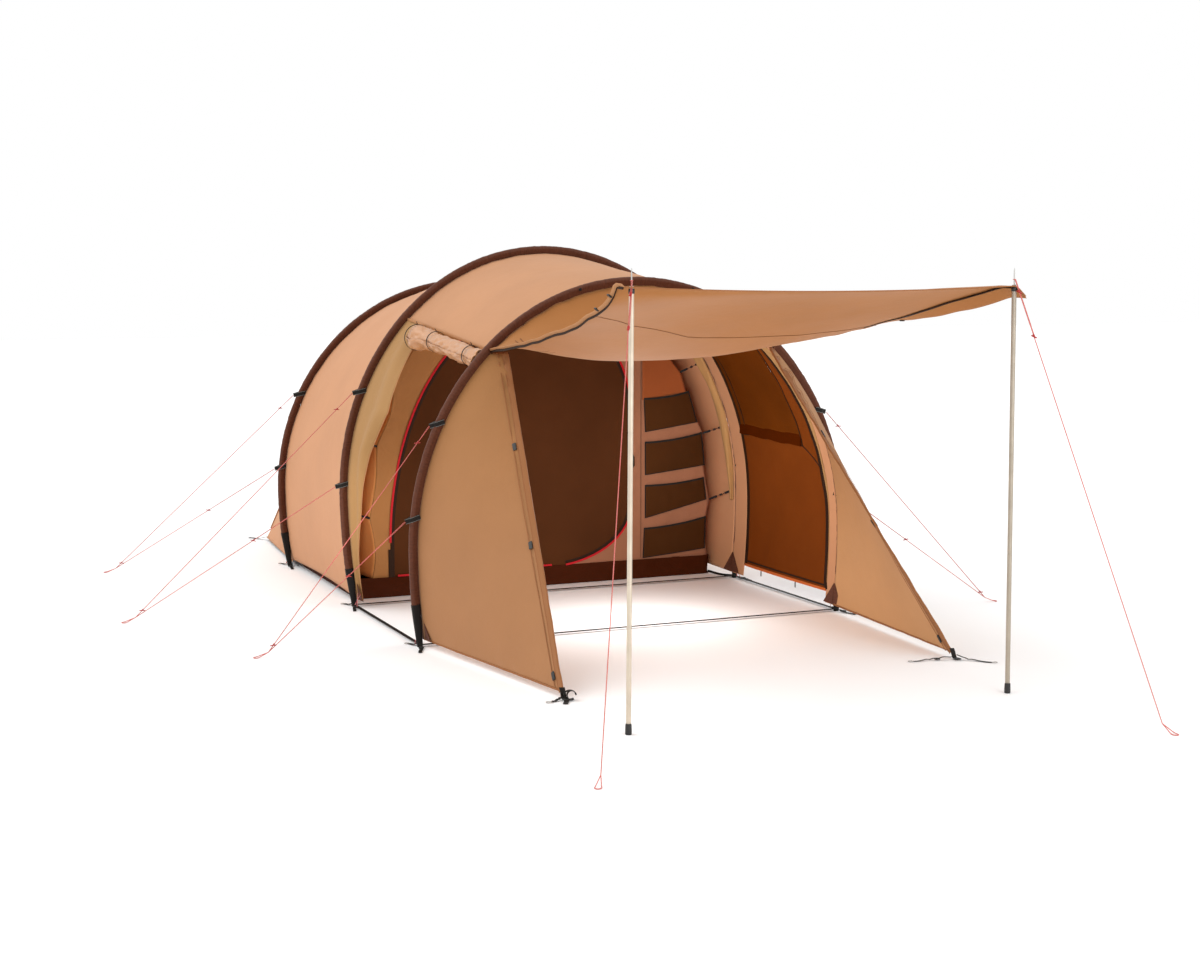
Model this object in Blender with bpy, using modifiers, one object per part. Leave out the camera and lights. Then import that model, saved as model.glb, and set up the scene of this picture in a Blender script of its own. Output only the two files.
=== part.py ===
"""Three-arch tunnel tent with a hung inner tent, front wings and a raised front canopy.

Metres, +Z up, +X to the right of someone looking in, the open front towards -Y.
Shapes are laid out from the line between the middle arch's feet. The empty "tent_base" then
puts the middle of the pitched tent's footprint, guy lines included, at the world origin.
"""

import math
from collections import namedtuple

import bmesh
import bpy
from mathutils import Vector

# An arch's outline is straight-sided below and half an ellipse above
Arch = namedtuple("Arch", "y half_width height straight foot_in lean")
REAR = Arch(y=1.520, half_width=1.246, height=1.798, straight=0.493, foot_in=0.047, lean=0.0)
MIDDLE = Arch(y=0.0, half_width=1.259, height=2.000, straight=0.594, foot_in=0.045, lean=0.064)
FRONT = Arch(y=-1.185, half_width=1.248, height=1.830, straight=0.471, foot_in=0.029, lean=0.023)
INNER_FRONT = Arch(y=0.200, half_width=1.120, height=1.800, straight=0.500, foot_in=0.0, lean=0.0)
INNER_REAR = Arch(y=1.420, half_width=1.110, height=1.620, straight=0.420, foot_in=0.004, lean=0.0)

# The shift from the middle arch's feet to the middle of the whole footprint
ORIGIN_SHIFT_Y = 0.70

# Clearance between pieces that touch, and the thicknesses of the fabric solids
GAP = 0.0003
FABRIC = 0.004
INNER_FABRIC = 0.003

# Arch poles, their sleeves and the pockets that hold their feet
POLE_RADIUS = 0.0065
POLE_INSET = 0.0102
SLEEVE_DEPTH = 0.044
SLEEVE_HALF_WIDTH = 0.016
SLEEVE_WALL = 0.0015
SLEEVE_SIDES = 8
FOOT_HEIGHT = 0.200
FOOT_TOE_INSETS = (0.008, 0.036)
FOOT_TOE_HALF_WIDTH = 0.011

# Stations divide every arch evenly; the roof seams and the wings' tips lie on a station
STATIONS = 32
SEAM_STATION = 10
HEM_HEIGHT = 0.030

# Rear end: its corners on the ground and the station where a corner's seam meets the arch
REAR_CORNER = (1.056, 2.660)
CORNER_STATION = 10

# Side doors of the front section, as shares of the way from the middle to the front arch
DOOR_REAR_EDGE = 0.13
DOOR_FRONT_EDGE = 0.93
DOOR_HEM_HEIGHT = 0.100
WINDOW_SILL = 0.930
WINDOW_FRONT_EDGE = 0.78
FLAP_WIDTHS = (0.05, 0.36, 0.12)
ROLL_RADIUS = 0.052
ROLL_ENDS = (0.200, 0.920)
ROLL_SIDES = 24

# Wings and canopy
WING_CORNERS = {"left": (0.970, -2.490), "right": (1.070, -2.480)}
WING_TIP_WIDTH = 0.030
WING_TIP_DROP = 0.004
WING_COLUMNS = 4
CANOPY_FRONT_Y = -3.106
CANOPY_HALF_WIDTH = 1.000
CANOPY_FRONT_Z = 1.7953
CANOPY_BAND = 0.95
CANOPY_SAG = 0.335
CANOPY_SAG_SHAPE = (1.0, 2.4)
CANOPY_SAG_LEAN = 0.138
CANOPY_LEFT_SAG = 0.077
CANOPY_LEFT_SHAPE = (1.2, 0.4)
CANOPY_RIGHT_SAG = 0.022
CANOPY_ROWS = 10

# Canopy poles: the bases stand a little uneven, as pitched by hand
POLE_BASES = {"left": (-0.960, -3.160), "right": (0.880, -3.175)}
POLE_HEAD = (0.920, -3.094)
CANOPY_POLE_RADIUS = 0.0105
POLE_END_GAP = 0.0008
SPIKE_RADIUS = 0.003
SPIKE_TOP = 1.875
GROMMET_RADIUS = 0.0036
RUBBER_RADIUS = 0.014
RUBBER_HEIGHT = 0.045

# Guy lines: where they leave the sleeves, and their loops on the ground at rear, middle, front
GUY_RADIUS = 0.0015
GUY_STATIONS = (7, 4)
GUY_LOOP_RADIUS = 0.020
GUY_TAB_STAND = 0.0014
LEFT_PEGS = ((-2.30, 1.72), (-2.46, 0.03), (-2.02, -1.12))
RIGHT_PEGS = ((2.42, 1.60), (2.25, 0.05), (2.18, -1.30))
CANOPY_GUY_HEIGHT = 1.835
CANOPY_PEGS = ((-1.39, -3.83), (1.06, -4.07))

# Base straps between the feet
STRAP_WIDTH = 0.020
STRAP_THICKNESS = 0.0025
STRAP_LIFT = 0.010

# Inner tent: tray, sloping rear, and the mesh door's outline in the front wall
TRAY_HEIGHT = 0.120
TRAY_REAR_CORNER = (1.000, 2.420)
DOOR_MIDDLE_X = -0.100
DOOR_TOP_Z = 1.620
DOOR_LEFT_REACH = 0.820
DOOR_LEFT_SHOULDER_Z = 0.300
DOOR_RIGHT_REACH = 0.690
DOOR_RIGHT_SHOULDER_Z = 0.950
DOOR_RIGHT_POWER = 2.4
DOOR_CORNER_CENTRE = (0.050, 0.450)
DOOR_CORNER_RADII = (0.540, 0.340)
ARC_STEPS = 8

# Elastic hangers from the inner tent's front edge to the outer tent
HANGER_STATION = 6
HANGER_RADIUS = 0.002
HANGER_STANDS = (0.001, 0.0016)

# Storage pockets on the front wall's right side: corners as (x, z)
POCKET_DEPTH = 0.018
POCKETS = (
    ((0.675, 1.096), (0.970, 1.130), (1.030, 0.939), (0.683, 0.891)),
    ((0.683, 0.831), (1.060, 0.876), (1.082, 0.674), (0.684, 0.630)),
    ((0.684, 0.570), (1.076, 0.600), (1.095, 0.462), (0.684, 0.368)),
    ((0.678, 0.308), (1.091, 0.358), (1.086, 0.160), (0.670, 0.125)),
)

# Finishes: colour, roughness and metallic value
FINISHES = {
    "tan_fabric": ((0.60, 0.36, 0.19), 0.80, 0.0),
    "brown_sleeve": ((0.09, 0.03, 0.02), 0.75, 0.0),
    "black_webbing": ((0.02, 0.02, 0.02), 0.70, 0.0),
    "pole_alloy": ((0.70, 0.65, 0.58), 0.35, 1.0),
    "rubber": ((0.02, 0.02, 0.02), 0.85, 0.0),
    "inner_fabric": ((0.38, 0.20, 0.10), 0.85, 0.0),
    "terracotta_fabric": ((0.48, 0.18, 0.10), 0.85, 0.0),
    "mesh": ((0.07, 0.03, 0.02), 0.80, 0.0),
    "groundsheet": ((0.06, 0.02, 0.015), 0.60, 0.0),
    "guy_cord": ((0.45, 0.04, 0.03), 0.60, 0.0),
}


def clear_scene():
    for obj in list(bpy.data.objects):
        bpy.data.objects.remove(obj, do_unlink=True)


def new_collection(name):
    collection = bpy.data.collections.new(name)
    bpy.context.scene.collection.children.link(collection)
    return collection


def finish(slot):
    """The Principled material of one finish, made once."""
    material = bpy.data.materials.get(slot)
    if material:
        return material
    colour, roughness, metallic = FINISHES[slot]
    material = bpy.data.materials.new(slot)
    material.use_nodes = True
    shader = material.node_tree.nodes["Principled BSDF"]
    shader.inputs["Base Color"].default_value = (*colour, 1.0)
    shader.inputs["Roughness"].default_value = roughness
    shader.inputs["Metallic"].default_value = metallic
    return material


clear_scene()
PIECES = new_collection("camping_tent")
CUTTERS = new_collection("cutters")
BASE = bpy.data.objects.new("tent_base", None)
BASE.location = (0.0, ORIGIN_SHIFT_Y, 0.0)
PIECES.objects.link(BASE)


def place(name, data, slot):
    """A named piece of the tent, in its finish, under the tent's base."""
    piece = bpy.data.objects.new(name, data)
    piece.parent = BASE
    data.materials.append(finish(slot))
    PIECES.objects.link(piece)
    return piece


def mesh_from_bmesh(name, bm):
    """A closed shape's mesh, all its faces turned outwards."""
    mesh = bpy.data.meshes.new(name)
    bm.normal_update()
    bmesh.ops.recalc_face_normals(bm, faces=bm.faces)
    if bm.calc_volume(signed=True) < 0:
        bmesh.ops.reverse_faces(bm, faces=bm.faces)
    bm.to_mesh(mesh)
    bm.free()
    return mesh


def curve_piece(name, points, radius, slot, resolution=2):
    """A round bar or line through the points, with closed ends."""
    curve = bpy.data.curves.new(name, "CURVE")
    curve.dimensions = "3D"
    curve.bevel_depth = radius
    curve.bevel_resolution = resolution
    curve.use_fill_caps = True
    spline = curve.splines.new("POLY")
    spline.points.add(len(points) - 1)
    for target, point in zip(spline.points, points):
        target.co = (*point, 1.0)
    return place(name, curve, slot)


def flat_piece(name, outline, front_y, depth, slot):
    """A flat panel standing across the tent: an (x, z) outline, extruded towards the rear."""
    curve = bpy.data.curves.new(name, "CURVE")
    curve.dimensions = "2D"
    curve.fill_mode = "BOTH"
    curve.extrude = depth / 2
    spline = curve.splines.new("POLY")
    spline.points.add(len(outline) - 1)
    spline.use_cyclic_u = True
    for target, (x, z) in zip(spline.points, outline):
        target.co = (x, z, 0.0, 1.0)
    piece = place(name, curve, slot)
    piece.rotation_euler = (math.pi / 2, 0.0, 0.0)
    piece.location = (0.0, front_y + depth / 2, 0.0)
    return piece


def box_piece(name, size, centre, slot):
    bm = bmesh.new()
    bmesh.ops.create_cube(bm, size=1.0)
    bmesh.ops.scale(bm, vec=size, verts=bm.verts)
    piece = place(name, mesh_from_bmesh(name, bm), slot)
    piece.location = centre
    return piece


def outline_length(arch):
    """The arch's approximate length along its outline, foot to foot."""
    rise = arch.height - arch.straight
    return 2 * arch.straight + math.pi / 2 * (arch.half_width + rise)


def share_at_height(arch, z):
    """The left foot's share of the outline at a height below the arch's straight stretch."""
    return z / outline_length(arch)


def outline_point(arch, share):
    """The (x, z) of the arch's outer edge at a share of its length from the left foot."""
    straight_share = arch.straight / outline_length(arch)
    from_foot = min(share, 1.0 - share)
    if from_foot < straight_share:
        z = arch.straight * from_foot / straight_share
        x = arch.half_width - arch.foot_in * (1.0 - z / arch.straight) ** 2
        return (-x if share < 0.5 else x), z
    turn = math.pi * (1.0 - (share - straight_share) / (1.0 - 2.0 * straight_share))
    x = arch.half_width * math.cos(turn)
    z = arch.straight + (arch.height - arch.straight) * math.sin(turn)
    return x, z


def arch_frame(arch, share):
    """The outer edge's point, its direction towards the right foot, and the way inwards."""
    step = 0.0001
    x, z = outline_point(arch, share)
    x0, z0 = outline_point(arch, max(share - step, 0.0))
    x1, z1 = outline_point(arch, min(share + step, 1.0))
    along = Vector((x1 - x0, 0.0, z1 - z0)).normalized()
    inward = Vector((along.z, 0.0, -along.x))
    return Vector((x, arch.y + arch.lean * z, z)), along, inward


def arch_point(arch, share, inset=0.0, forward=0.0):
    point, _, inward = arch_frame(arch, share)
    return point + inward * inset - Vector((0.0, forward, 0.0))


def seam_share(arch, station, side_of_seam):
    """A station's share, moved half a gap to one side (-1 towards the left foot, +1 right)."""
    return station / STATIONS + side_of_seam * GAP / 2 / outline_length(arch)


def side_shares(arch, low_height, top_station=SEAM_STATION):
    """The shares of a left wall's rows, from a height near the ground up to a roof seam."""
    shares = [share_at_height(arch, low_height), share_at_height(arch, FOOT_HEIGHT + GAP)]
    shares += [station / STATIONS for station in range(2, top_station)]
    return shares + [seam_share(arch, top_station, -1)]


def roof_shares(arch):
    shares = [seam_share(arch, SEAM_STATION, 1)]
    shares += [station / STATIONS for station in range(SEAM_STATION + 1, STATIONS - SEAM_STATION)]
    return shares + [seam_share(arch, STATIONS - SEAM_STATION, -1)]


def full_shares(arch, low_height):
    """Shares from one end of an arch to the other, both ends at the same low height."""
    left = [share_at_height(arch, low_height), share_at_height(arch, FOOT_HEIGHT + GAP)]
    middle = [station / STATIONS for station in range(2, STATIONS - 1)]
    return left + middle + [1.0 - share for share in reversed(left)]


def sheet_piece(name, outer, inner, slot, keep=None, mirror=False):
    """A fabric panel with real thickness, lofted from two grids of points (rows of columns).

    Both skins are split along the same diagonals, so they stay parallel where a panel twists.
    keep(row, column) leaves cells out; mirror makes the panel of the tent's other side.
    """
    rows, columns = len(outer), len(outer[0])
    keep = keep or (lambda row, column: True)
    cells = {(r, c) for r in range(rows - 1) for c in range(columns - 1) if keep(r, c)}
    side = Vector((-1.0, 1.0, 1.0)) if mirror else Vector((1.0, 1.0, 1.0))
    bm = bmesh.new()
    made = {}

    def corner(layer, row, column):
        key = (layer, row, column)
        if key not in made:
            grid = inner if layer else outer
            made[key] = bm.verts.new(grid[row][column] * side)
        return made[key]

    for r, c in sorted(cells):
        ring = [(r, c), (r, c + 1), (r + 1, c + 1), (r + 1, c)]
        for half in (ring[:3], ring[2:] + ring[:1]):
            bm.faces.new([corner(0, *k) for k in half])
            bm.faces.new([corner(1, *k) for k in reversed(half)])
        neighbours = [(r - 1, c), (r, c + 1), (r + 1, c), (r, c - 1)]
        for index, neighbour in enumerate(neighbours):
            if neighbour not in cells:
                a, b = ring[index], ring[(index + 1) % 4]
                bm.faces.new([corner(0, *b), corner(0, *a), corner(1, *a), corner(1, *b)])
    return place(name, mesh_from_bmesh(name, bm), slot)


def panel_grid(arch_a, arch_b, shares_a, shares_b, ways, inset):
    """Points between two arches: one row for each pair of shares, one column for each way.

    ways are shares of the straight line from arch_a to arch_b, or a function of the row.
    """
    grid = []
    for row, (share_a, share_b) in enumerate(zip(shares_a, shares_b)):
        a = arch_point(arch_a, share_a, inset)
        b = arch_point(arch_b, share_b, inset)
        row_ways = ways(row) if callable(ways) else ways
        grid.append([a.lerp(b, way) for way in row_ways])
    return grid


def arch_panel(name, arch_a, arch_b, shares, ways, slot, keep=None, mirror=False,
               outset=SLEEVE_DEPTH + GAP, thickness=FABRIC):
    """A fabric panel stretched between two arches, under their sleeves."""
    grids = [
        panel_grid(arch_a, arch_b, shares(arch_a), shares(arch_b), ways, outset + depth)
        for depth in (0.0, thickness)
    ]
    return sheet_piece(name, grids[0], grids[1], slot, keep, mirror)


def end_gaps(arch_a, arch_b):
    """Half a gap at each end of the way between two arches."""
    way = GAP / 2 / abs(arch_a.y - arch_b.y)
    return way, 1.0 - way


def make_arch_pole(name, arch):
    shares = full_shares(arch, HEM_HEIGHT)[1:-1]
    shares[0] += GAP / outline_length(arch)
    shares[-1] -= GAP / outline_length(arch)
    points = [arch_point(arch, share, POLE_INSET) for share in shares]
    curve_piece(name, points, POLE_RADIUS, "pole_alloy")


def sleeve_ring(arch, share, shrink):
    """The points round a sleeve's section, its corners on the section's own axes."""
    point, _, inward = arch_frame(arch, share)
    centre = point + inward * SLEEVE_DEPTH / 2
    ring = []
    for side in range(SLEEVE_SIDES):
        turn = 2 * math.pi * side / SLEEVE_SIDES
        radial = inward * (SLEEVE_DEPTH / 2 - shrink) * math.cos(turn)
        axial = Vector((0.0, (SLEEVE_HALF_WIDTH - shrink) * math.sin(turn), 0.0))
        ring.append(centre + radial + axial)
    return ring


def make_sleeve(name, arch):
    """A hollow fabric sleeve over the arch pole, open at both ends."""
    shares = full_shares(arch, HEM_HEIGHT)[1:-1]
    bm = bmesh.new()
    skins = []
    for shrink in (0.0, SLEEVE_WALL):
        rings = [[bm.verts.new(p) for p in sleeve_ring(arch, share, shrink)] for share in shares]
        skins.append(rings)
    for rings in skins:
        for ring_a, ring_b in zip(rings, rings[1:]):
            bridge_rings(bm, ring_a, ring_b)
    for end in (0, -1):
        bridge_rings(bm, skins[0][end], skins[1][end])
    place(name, mesh_from_bmesh(name, bm), "brown_sleeve")


def bridge_rings(bm, ring_a, ring_b):
    count = len(ring_a)
    for i in range(count):
        j = (i + 1) % count
        bm.faces.new([ring_a[i], ring_a[j], ring_b[j], ring_b[i]])


def make_foot(name, arch, side):
    """A black pocket that takes the pole's end: its top under the sleeve, its toe flat."""
    share = share_at_height(arch, FOOT_HEIGHT)
    point, _, inward = arch_frame(arch, share)
    toe, _, _ = arch_frame(arch, 0.0)
    bm = bmesh.new()
    bmesh.ops.create_cube(bm, size=2.0)
    for vert in bm.verts:
        inner_edge, rear_edge, top = vert.co.x > 0, vert.co.y, vert.co.z > 0
        if top:
            spot = point + inward * (SLEEVE_DEPTH if inner_edge else 0.0)
            vert.co = spot + Vector((0.0, rear_edge * SLEEVE_HALF_WIDTH, 0.0))
        else:
            inset = FOOT_TOE_INSETS[1] if inner_edge else FOOT_TOE_INSETS[0]
            vert.co = (toe.x + inset, toe.y + rear_edge * FOOT_TOE_HALF_WIDTH, 0.0)
        vert.co.x *= side
    place(name, mesh_from_bmesh(name, bm), "black_webbing")


def make_section(prefix, arch_a, arch_b):
    """A whole section of the outer tent between two arches: two walls and a roof."""
    ways = end_gaps(arch_a, arch_b)
    for side in ("left", "right"):
        arch_panel(f"{prefix}_{side}_wall", arch_a, arch_b,
                   lambda arch: side_shares(arch, HEM_HEIGHT), ways, "tan_fabric",
                   mirror=side == "right")
    arch_panel(f"{prefix}_roof", arch_a, arch_b, roof_shares, ways, "tan_fabric")


def sloping_end(name, arch, corner, hem_height, inset, thickness, slot, low_height):
    """An end that slopes from an arch to the ground, with a corner each side."""
    shares = full_shares(arch, low_height)
    corner_share = CORNER_STATION / STATIONS
    foot = arch_point(arch, 0.0, inset)
    grids = []
    for depth in (0.0, thickness):
        grid = []
        for share in shares:
            top = arch_point(arch, share, inset + depth, forward=-GAP / 2)
            from_foot = min(share, 1.0 - share) / corner_share
            if from_foot < 1.0:
                x = foot.x + (-corner[0] - foot.x) * from_foot
                y = arch.y + (corner[1] - arch.y) * from_foot
                x = x if share < 0.5 else -x
            else:
                across = (share - corner_share) / (1.0 - 2.0 * corner_share)
                x = corner[0] * (2.0 * across - 1.0)
                y = corner[1]
            hem = Vector((x, y, hem_height))
            to_middle = Vector((-x, arch.y - y, 0.0)).normalized()
            hem += to_middle * depth
            grid.append([top, top.lerp(hem, 0.5), hem])
        grids.append(grid)
    return sheet_piece(name, grids[0], grids[1], slot)


def make_front_section():
    """The section between the middle and front arches, with its two side doors."""
    near, far = end_gaps(MIDDLE, FRONT)
    arch_panel("front_roof", MIDDLE, FRONT, roof_shares, (near, far), "tan_fabric")
    seam = GAP / abs(MIDDLE.y - FRONT.y)

    def walls(arch):
        return side_shares(arch, HEM_HEIGHT)

    front_ways = (DOOR_FRONT_EDGE, far)
    rear_ways = (near, DOOR_REAR_EDGE)
    arch_panel("left_front_strip", MIDDLE, FRONT, walls, front_ways, "tan_fabric")
    arch_panel("right_front_strip", MIDDLE, FRONT, walls, front_ways, "tan_fabric", mirror=True)
    arch_panel("right_rear_strip", MIDDLE, FRONT, walls, rear_ways, "tan_fabric", mirror=True)

    flap_rows = len(walls(MIDDLE)) - 1

    def flap_ways(row):
        low, middle, high = FLAP_WIDTHS
        rise = row / flap_rows
        width = low * (1 - rise) ** 2 + 2 * middle * rise * (1 - rise) + high * rise ** 2
        return near, width / 2, width

    arch_panel("left_storm_flap", MIDDLE, FRONT, walls, flap_ways, "tan_fabric")

    def door_rows(arch):
        rows = side_shares(arch, DOOR_HEM_HEIGHT)
        return insert_share(rows, sill_share(arch) - GAP / 2 / outline_length(arch))

    def window_rows(arch):
        sill = sill_share(arch) + GAP / 2 / outline_length(arch)
        return [sill] + [share for share in side_shares(arch, DOOR_HEM_HEIGHT) if share > sill]

    sill_row = door_rows(MIDDLE).index(sill_share(MIDDLE) - GAP / 2 / outline_length(MIDDLE))
    door_ways = (DOOR_REAR_EDGE + seam, WINDOW_FRONT_EDGE, DOOR_FRONT_EDGE - seam)
    arch_panel("right_side_door", MIDDLE, FRONT, door_rows, door_ways, "inner_fabric",
               keep=lambda row, column: row < sill_row or column == 1, mirror=True)
    window_ways = (DOOR_REAR_EDGE + seam, WINDOW_FRONT_EDGE - seam)
    arch_panel("right_door_window", MIDDLE, FRONT, window_rows, window_ways, "mesh", mirror=True)
    make_door_roll()


def sill_share(arch):
    """The left share at which the arch's outline reaches the window sill's height."""
    low, high = share_at_height(arch, arch.straight), 0.5
    for _ in range(40):
        middle = (low + high) / 2
        if outline_point(arch, middle)[1] < WINDOW_SILL:
            low = middle
        else:
            high = middle
    return low


def insert_share(shares, extra):
    return sorted(shares + [extra])


def make_door_roll():
    """The left side door, rolled up under the roof's seam from arch to arch."""
    ends = []
    for arch in (MIDDLE, FRONT):
        _, along, _ = arch_frame(arch, SEAM_STATION / STATIONS)
        rim = arch_point(arch, SEAM_STATION / STATIONS, SLEEVE_DEPTH + GAP + FABRIC / 2)
        ends.append(rim - along * (ROLL_RADIUS + 2 * GAP))
    start = ends[0].lerp(ends[1], ROLL_ENDS[0])
    stop = ends[0].lerp(ends[1], ROLL_ENDS[1])
    axis = stop - start
    bm = bmesh.new()
    bmesh.ops.create_cone(bm, cap_ends=True, segments=ROLL_SIDES, radius1=ROLL_RADIUS,
                          radius2=ROLL_RADIUS, depth=axis.length)
    piece = place("left_door_roll", mesh_from_bmesh("left_door_roll", bm), "tan_fabric")
    piece.location = (start + stop) / 2
    piece.rotation_euler = axis.to_track_quat("Z", "Y").to_euler()


def make_wing(side_name):
    """A triangular wing: from the front arch's side to a corner on the ground in front."""
    shares = side_shares(FRONT, HEM_HEIGHT)
    shares[-1] -= WING_TIP_DROP / outline_length(FRONT)
    tip = shares[-1]
    reach, corner_y = WING_CORNERS[side_name]
    corner = Vector((-reach, corner_y, HEM_HEIGHT))
    top = arch_point(FRONT, tip, SLEEVE_DEPTH + GAP, forward=WING_TIP_WIDTH)
    grids = []
    for depth in (0.0, FABRIC):
        grid = []
        for share in shares:
            root = arch_point(FRONT, share, SLEEVE_DEPTH + GAP + depth, forward=GAP / 2)
            _, _, inward = arch_frame(FRONT, share)
            rise = (share - shares[0]) / (tip - shares[0])
            edge = corner.lerp(top, rise) + inward * depth
            grid.append([root.lerp(edge, column / WING_COLUMNS)
                         for column in range(WING_COLUMNS + 1)])
        grids.append(grid)
    sheet_piece(f"{side_name}_wing", grids[0], grids[1], "tan_fabric",
                mirror=side_name == "right")


def hump(share, rise, fall):
    """0 at both ends of a span and 1 at its peak; the powers set where the peak lies."""
    peak = rise / (rise + fall)
    return (share / peak) ** rise * ((1 - share) / (1 - peak)) ** fall


def canopy_sag(across, slack):
    """How far the canopy hangs below a straight line from the arch to its front edge."""
    middle = 4 * across * (1 - across) * (1 + CANOPY_SAG_LEAN * (1 - 2 * across))
    depth = CANOPY_SAG * middle * hump(slack, *CANOPY_SAG_SHAPE)
    depth += CANOPY_LEFT_SAG * (1 - across) ** 2 * hump(slack, *CANOPY_LEFT_SHAPE)
    return depth + CANOPY_RIGHT_SAG * across ** 2 * hump(slack, 1.0, 1.0)


def make_canopy():
    """The front door panel, raised on two poles: it hangs slack between arch and front edge."""
    shares = roof_shares(FRONT)
    ways = [CANOPY_BAND * row / CANOPY_ROWS for row in range(CANOPY_ROWS + 1)] + [1.0]
    grids = []
    for depth in (0.0, FABRIC):
        grid = []
        for index, share in enumerate(shares):
            across = index / (len(shares) - 1)
            root = arch_point(FRONT, share, SLEEVE_DEPTH + GAP + depth, forward=GAP / 2)
            lip = Vector((CANOPY_HALF_WIDTH * (2 * across - 1), CANOPY_FRONT_Y,
                          CANOPY_FRONT_Z + FABRIC - depth))
            row = []
            for way in ways:
                slack = min(way / CANOPY_BAND, 1.0)
                point = root.lerp(lip, way)
                point.z = root.z + (lip.z - root.z) * slack - canopy_sag(across, slack)
                row.append(point)
            grid.append(row)
        grids.append(grid)
    canopy = sheet_piece("front_canopy", grids[0], grids[1], "tan_fabric")
    for side in (-1, 1):
        cut_grommet(canopy, side)


def cut_grommet(canopy, side):
    """A hole in the canopy's corner for the pole's spike."""
    bm = bmesh.new()
    bmesh.ops.create_cone(bm, cap_ends=True, segments=8, radius1=GROMMET_RADIUS,
                          radius2=GROMMET_RADIUS, depth=0.05)
    cutter = bpy.data.objects.new("grommet_hole", mesh_from_bmesh("grommet_hole", bm))
    cutter.parent = BASE
    cutter.location = (side * POLE_HEAD[0], POLE_HEAD[1], CANOPY_FRONT_Z)
    cutter.hide_render = True
    cutter.display_type = "WIRE"
    CUTTERS.objects.link(cutter)
    cut = canopy.modifiers.new("grommet", "BOOLEAN")
    cut.operation = "DIFFERENCE"
    cut.object = cutter


def make_canopy_pole(side_name, side):
    """A canopy pole with its spike, and the rubber foot under it."""
    base = Vector((*POLE_BASES[side_name], 0.0))
    head = Vector((side * POLE_HEAD[0], POLE_HEAD[1], CANOPY_FRONT_Z - POLE_END_GAP))
    axis = head - base
    low = RUBBER_HEIGHT + POLE_END_GAP
    spike = SPIKE_TOP / CANOPY_FRONT_Z * axis.length
    profile = [(0.0, spike), (SPIKE_RADIUS, spike), (SPIKE_RADIUS, axis.length),
               (CANOPY_POLE_RADIUS, axis.length), (CANOPY_POLE_RADIUS, low), (0.0, low)]
    bm = bmesh.new()
    verts = [bm.verts.new((r, 0.0, z)) for r, z in profile]
    for a, b in zip(verts, verts[1:]):
        bm.edges.new((a, b))
    name = f"{side_name}_canopy_pole"
    mesh = bpy.data.meshes.new(name)
    bm.to_mesh(mesh)
    bm.free()
    pole = place(name, mesh, "pole_alloy")
    pole.location = base
    pole.rotation_euler = axis.to_track_quat("Z", "Y").to_euler()
    turn = pole.modifiers.new("turned", "SCREW")
    turn.steps = turn.render_steps = 12
    turn.use_merge_vertices = True
    turn.merge_threshold = 0.0001
    bm = bmesh.new()
    bmesh.ops.create_cone(bm, cap_ends=True, segments=16, radius1=RUBBER_RADIUS,
                          radius2=RUBBER_RADIUS, depth=RUBBER_HEIGHT)
    name = f"{side_name}_pole_foot"
    foot = place(name, mesh_from_bmesh(name, bm), "rubber")
    foot.location = base + Vector((0.0, 0.0, RUBBER_HEIGHT / 2))


def tab_point(arch, station, side):
    """Where a guy line leaves an arch's sleeve, just clear of it."""
    point = arch_point(arch, station / STATIONS, -GUY_TAB_STAND)
    point.x *= side
    return point


def make_guy_pair(name, arch, side, peg):
    """An upper and a lower line from one side of an arch, in one line round the peg loop."""
    upper, lower = [tab_point(arch, station, side) for station in GUY_STATIONS]
    ground = Vector((peg[0], peg[1], GUY_RADIUS + GAP))
    out = Vector((ground.x - upper.x, ground.y - upper.y, 0.0)).normalized()
    across = Vector((-out.y, out.x, 0.0)) * GUY_LOOP_RADIUS
    loop = []
    for step in range(7):
        turn = math.pi * step / 6
        loop.append(ground - out * GUY_LOOP_RADIUS
                    + across * math.cos(turn) + out * GUY_LOOP_RADIUS * math.sin(turn))
    curve_piece(name, [upper] + loop + [lower], GUY_RADIUS, "guy_cord", resolution=1)


def make_canopy_guy(side_name, side, peg):
    """One line from a canopy pole's spike to the ground."""
    lean = (CANOPY_GUY_HEIGHT / CANOPY_FRONT_Z)
    base = Vector((*POLE_BASES[side_name], 0.0))
    head = Vector((side * POLE_HEAD[0], POLE_HEAD[1], CANOPY_FRONT_Z))
    spike = base.lerp(head, lean)
    ground = Vector((peg[0], peg[1], GUY_RADIUS + GAP))
    out = Vector((ground.x - spike.x, ground.y - spike.y, 0.0)).normalized()
    start = spike + out * (SPIKE_RADIUS + GUY_TAB_STAND)
    curve_piece(f"{side_name}_canopy_guy_line", [start, start.lerp(ground, 0.5), ground],
                GUY_RADIUS, "guy_cord", resolution=1)


def make_straps():
    """Webbing between the feet: one along each side, and one across at each front arch."""
    lift = STRAP_LIFT + STRAP_THICKNESS / 2
    inner_inset = foot_inset(STRAP_LIFT)
    for label, arch in (("middle", MIDDLE), ("front", FRONT)):
        toe, _, _ = arch_frame(arch, 0.0)
        reach = -toe.x - inner_inset - 2 * GAP
        box_piece(f"{label}_cross_strap", (2 * reach, STRAP_WIDTH, STRAP_THICKNESS),
                  (0.0, arch.y, lift), "black_webbing")
    middle_toe, _, _ = arch_frame(MIDDLE, 0.0)
    front_toe, _, _ = arch_frame(FRONT, 0.0)
    half = FOOT_TOE_HALF_WIDTH + 3 * GAP
    length = middle_toe.y - front_toe.y - 2 * half
    for label, side in (("left", -1), ("right", 1)):
        x = side * (-(middle_toe.x + front_toe.x) / 2 - sum(FOOT_TOE_INSETS) / 2)
        y = (middle_toe.y + front_toe.y) / 2
        box_piece(f"{label}_base_strap", (STRAP_WIDTH, length, STRAP_THICKNESS), (x, y, lift),
                  "black_webbing")


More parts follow.
